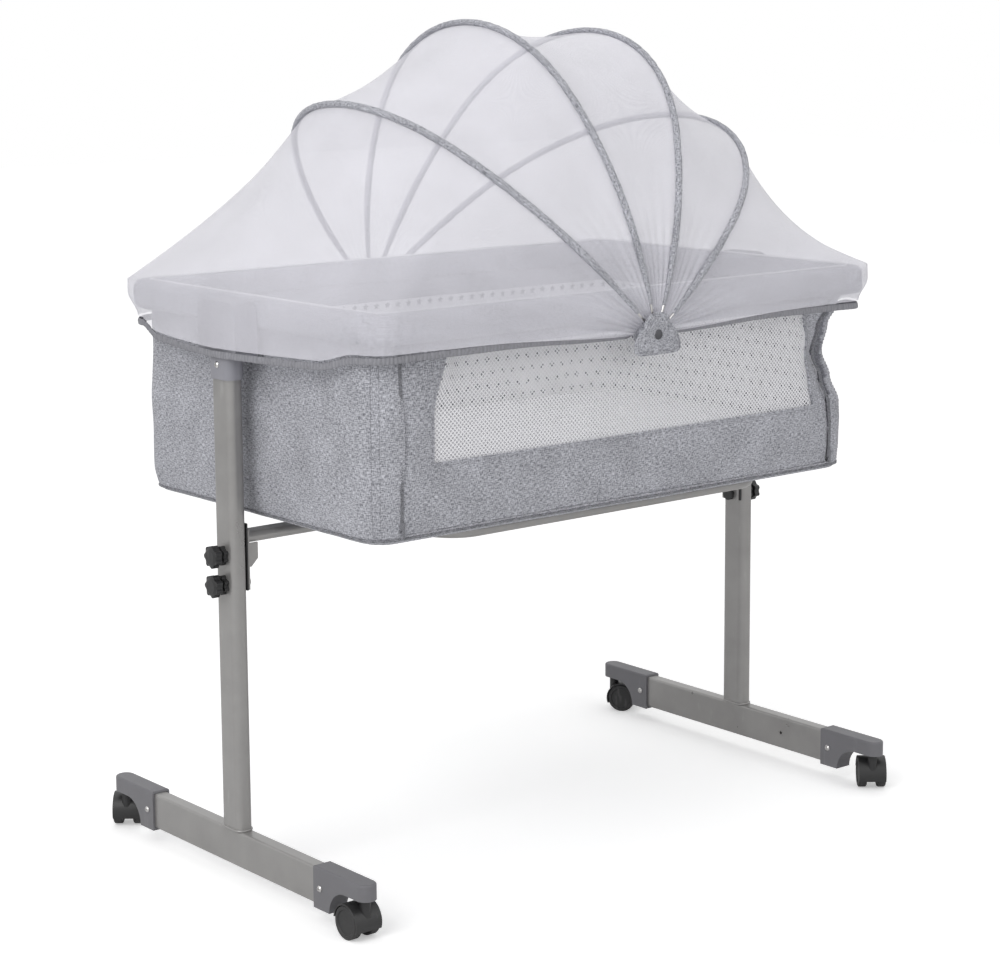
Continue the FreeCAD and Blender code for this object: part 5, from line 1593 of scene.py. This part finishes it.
def soft_lamps(scene):
    """Three square softboxes that face the crib's middle."""
    middle = Vector((0, 0, 0.5))
    lamps = (
        ("left_softbox", Vector((-3.0, -1.1, 2.6)), 2.2, 52),
        ("front_softbox", Vector((0.8, -3.2, 2.0)), 2.0, 14),
        ("top_softbox", Vector((0.3, 0.6, 3.2)), 2.4, 20),
    )
    for name, place, size, power in lamps:
        lamp = bpy.data.lights.new(name, "AREA")
        lamp.shape = "SQUARE"
        lamp.size = size
        lamp.energy = power
        item = bpy.data.objects.new(name, lamp)
        item.location = place
        item.rotation_euler = (middle - place).to_track_quat("-Z", "Y").to_euler()
        scene.collection.objects.link(item)


def photo_camera(scene):
    """The camera at the photograph's viewing angle."""
    place = Vector((-2.0340, -2.4778, 1.0647))
    heading, pitch, roll = (math.radians(angle) for angle in (-39.27, 90 - 9.16, -0.37))
    camera = bpy.data.cameras.new("photo_camera")
    camera.sensor_fit = "HORIZONTAL"
    camera.sensor_width = 36.0
    camera.lens = 90.15
    camera.shift_y = -0.0788
    camera.clip_end = 60.0
    view = bpy.data.objects.new("photo_camera", camera)
    turn = Matrix.Rotation(heading, 4, "Z") @ Matrix.Rotation(pitch, 4, "X") @ Matrix.Rotation(roll, 4, "Z")
    view.matrix_world = Matrix.Translation(place) @ turn
    scene.collection.objects.link(view)
    scene.camera = view


# ---------------------------------------------------------------- operators


class CRIB_OT_tubes(bpy.types.Operator):
    """Paint the feet, posts, beam, base loop, rim tube and end plates, and weld the posts"""

    bl_idname = "crib.tubes"
    bl_label = "Painted tubes"

    def execute(self, context):
        pairs = [f"{side}_{part}" for side in SIDES for part in ("foot_tube", "post", "end_plate")]
        paint_nodes("frame_paint", [*pairs, "centre_beam", "base_loop_tube", "rim_tube"])
        weld_beads()
        return {"FINISHED"}


class CRIB_OT_plastics(bpy.types.Operator):
    """Finish the toe caps, rim brackets, knobs, strips and bolts"""

    bl_idname = "crib.plastics"
    bl_label = "Plastic parts"

    def execute(self, context):
        paint_nodes("end_plastic", corners("toe_cap"))
        paint_nodes("bracket_plastic", [f"{side}_rim_bracket" for side in SIDES])
        knobs = [f"{side}_{height}_knob" for side in SIDES for height in ("upper", "lower")]
        paint_nodes("black_plastic", [*knobs, "guide_strips", "clamp_bolts"])
        return {"FINISHED"}


class CRIB_OT_casters(bpy.types.Operator):
    """Finish the casters' hoods, wheels, axles and stems"""

    bl_idname = "crib.casters"
    bl_label = "Casters"

    def execute(self, context):
        paint_nodes("black_plastic", corners("caster_hood"))
        paint_nodes("wheel_plastic", corners("caster_wheels"))
        paint_nodes("bright_steel", [*corners("caster_axle"), "caster_stems"])
        return {"FINISHED"}


class CRIB_OT_steel(bpy.types.Operator):
    """Finish the screws, hoop wires and hub rivets, and the board under the mattress"""

    bl_idname = "crib.steel"
    bl_label = "Steel parts and board"

    def execute(self, context):
        wires = [f"{hoop}_hoop_wire" for hoop in HOOPS]
        paint_nodes("bright_steel", [*wires, "stand_screws"])
        paint_nodes("dark_steel", ["hub_rivets"])
        paint_nodes("board_wood", ["base_board"])
        return {"FINISHED"}


class CRIB_OT_rim(bpy.types.Operator):
    """Make the rim's soft cover"""

    bl_idname = "crib.rim"
    bl_label = "Rim padding"

    def execute(self, context):
        rim_padding(context.scene.crib_sizes)
        return {"FINISHED"}


class CRIB_OT_shell(bpy.types.Operator):
    """Make the cloth tub"""

    bl_idname = "crib.shell"
    bl_label = "Bassinet shell"

    def execute(self, context):
        bassinet_shell(context.scene.crib_sizes)
        return {"FINISHED"}


class CRIB_OT_panel(bpy.types.Operator):
    """Make the drop panel, its mesh window and its zips"""

    bl_idname = "crib.panel"
    bl_label = "Drop panel"

    def execute(self, context):
        drop_panel(context.scene.crib_sizes)
        mesh_window(context.scene.crib_sizes)
        panel_zips(context.scene.crib_sizes)
        return {"FINISHED"}


class CRIB_OT_inside(bpy.types.Operator):
    """Make the star lining and the mattress"""

    bl_idname = "crib.inside"
    bl_label = "Lining and mattress"

    def execute(self, context):
        star_lining(context.scene.crib_sizes)
        mattress(context.scene.crib_sizes)
        return {"FINISHED"}


class CRIB_OT_hoops(bpy.types.Operator):
    """Make the hoops' cloth sleeves"""

    bl_idname = "crib.hoops"
    bl_label = "Hoop sleeves"

    def execute(self, context):
        hoop_sleeves()
        return {"FINISHED"}


class CRIB_OT_net(bpy.types.Operator):
    """Make the net, its hems and the patches over its hubs"""

    bl_idname = "crib.net"
    bl_label = "Net canopy"

    def execute(self, context):
        net_hems(context.scene.crib_sizes)
        net_panels(context.scene.crib_sizes)
        net_skirts(context.scene.crib_sizes)
        hub_patches(context.scene.crib_sizes)
        return {"FINISHED"}


class CRIB_OT_stage(bpy.types.Operator):
    """Set up the floor, the light, the background and the camera"""

    bl_idname = "crib.stage"
    bl_label = "Stage"

    def execute(self, context):
        context.scene.view_settings.view_transform = "Standard"
        pale_floor()
        white_world(context.scene)
        soft_lamps(context.scene)
        photo_camera(context.scene)
        return {"FINISHED"}


class CRIB_PT_panel(bpy.types.Panel):
    """The crib's steps in the 3D view's sidebar"""

    bl_label = "Bedside sleeper crib"
    bl_idname = "CRIB_PT_panel"
    bl_space_type = "VIEW_3D"
    bl_region_type = "UI"
    bl_category = "Crib"

    def draw(self, context):
        for step in STEPS:
            self.layout.operator(step.bl_idname)
        for group in (context.scene.crib_sizes, context.scene.crib_colours):
            box = self.layout.box()
            for label in group.__annotations__:
                box.prop(group, label)


STEPS = (
    CRIB_OT_tubes,
    CRIB_OT_plastics,
    CRIB_OT_casters,
    CRIB_OT_steel,
    CRIB_OT_rim,
    CRIB_OT_shell,
    CRIB_OT_panel,
    CRIB_OT_inside,
    CRIB_OT_hoops,
    CRIB_OT_net,
    CRIB_OT_stage,
)


def register():
    """Registers the crib's settings, steps and panel."""
    for item in (CribSizes, CribColours, *STEPS, CRIB_PT_panel):
        bpy.utils.register_class(item)
    bpy.types.Scene.crib_sizes = bpy.props.PointerProperty(type=CribSizes)
    bpy.types.Scene.crib_colours = bpy.props.PointerProperty(type=CribColours)


def unregister():
    """Takes the crib's settings, steps and panel away again."""
    del bpy.types.Scene.crib_colours
    del bpy.types.Scene.crib_sizes
    for item in (CRIB_PT_panel, *reversed(STEPS), CribColours, CribSizes):
        bpy.utils.unregister_class(item)


def plain(bounds):
    """A box's two corners as lists of numbers."""
    return [[float(value) for value in corner] for corner in bounds]


def main():
    """Makes every piece in order and works out how large the dressed crib is."""
    register()
    for step in STEPS:
        group, name = step.bl_idname.split(".")
        getattr(getattr(bpy.ops, group), name)()
    sizes = {"cad": plain(CAD_BOUNDS), "visual": plain(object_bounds())}


if __name__ == "__main__":
    main()
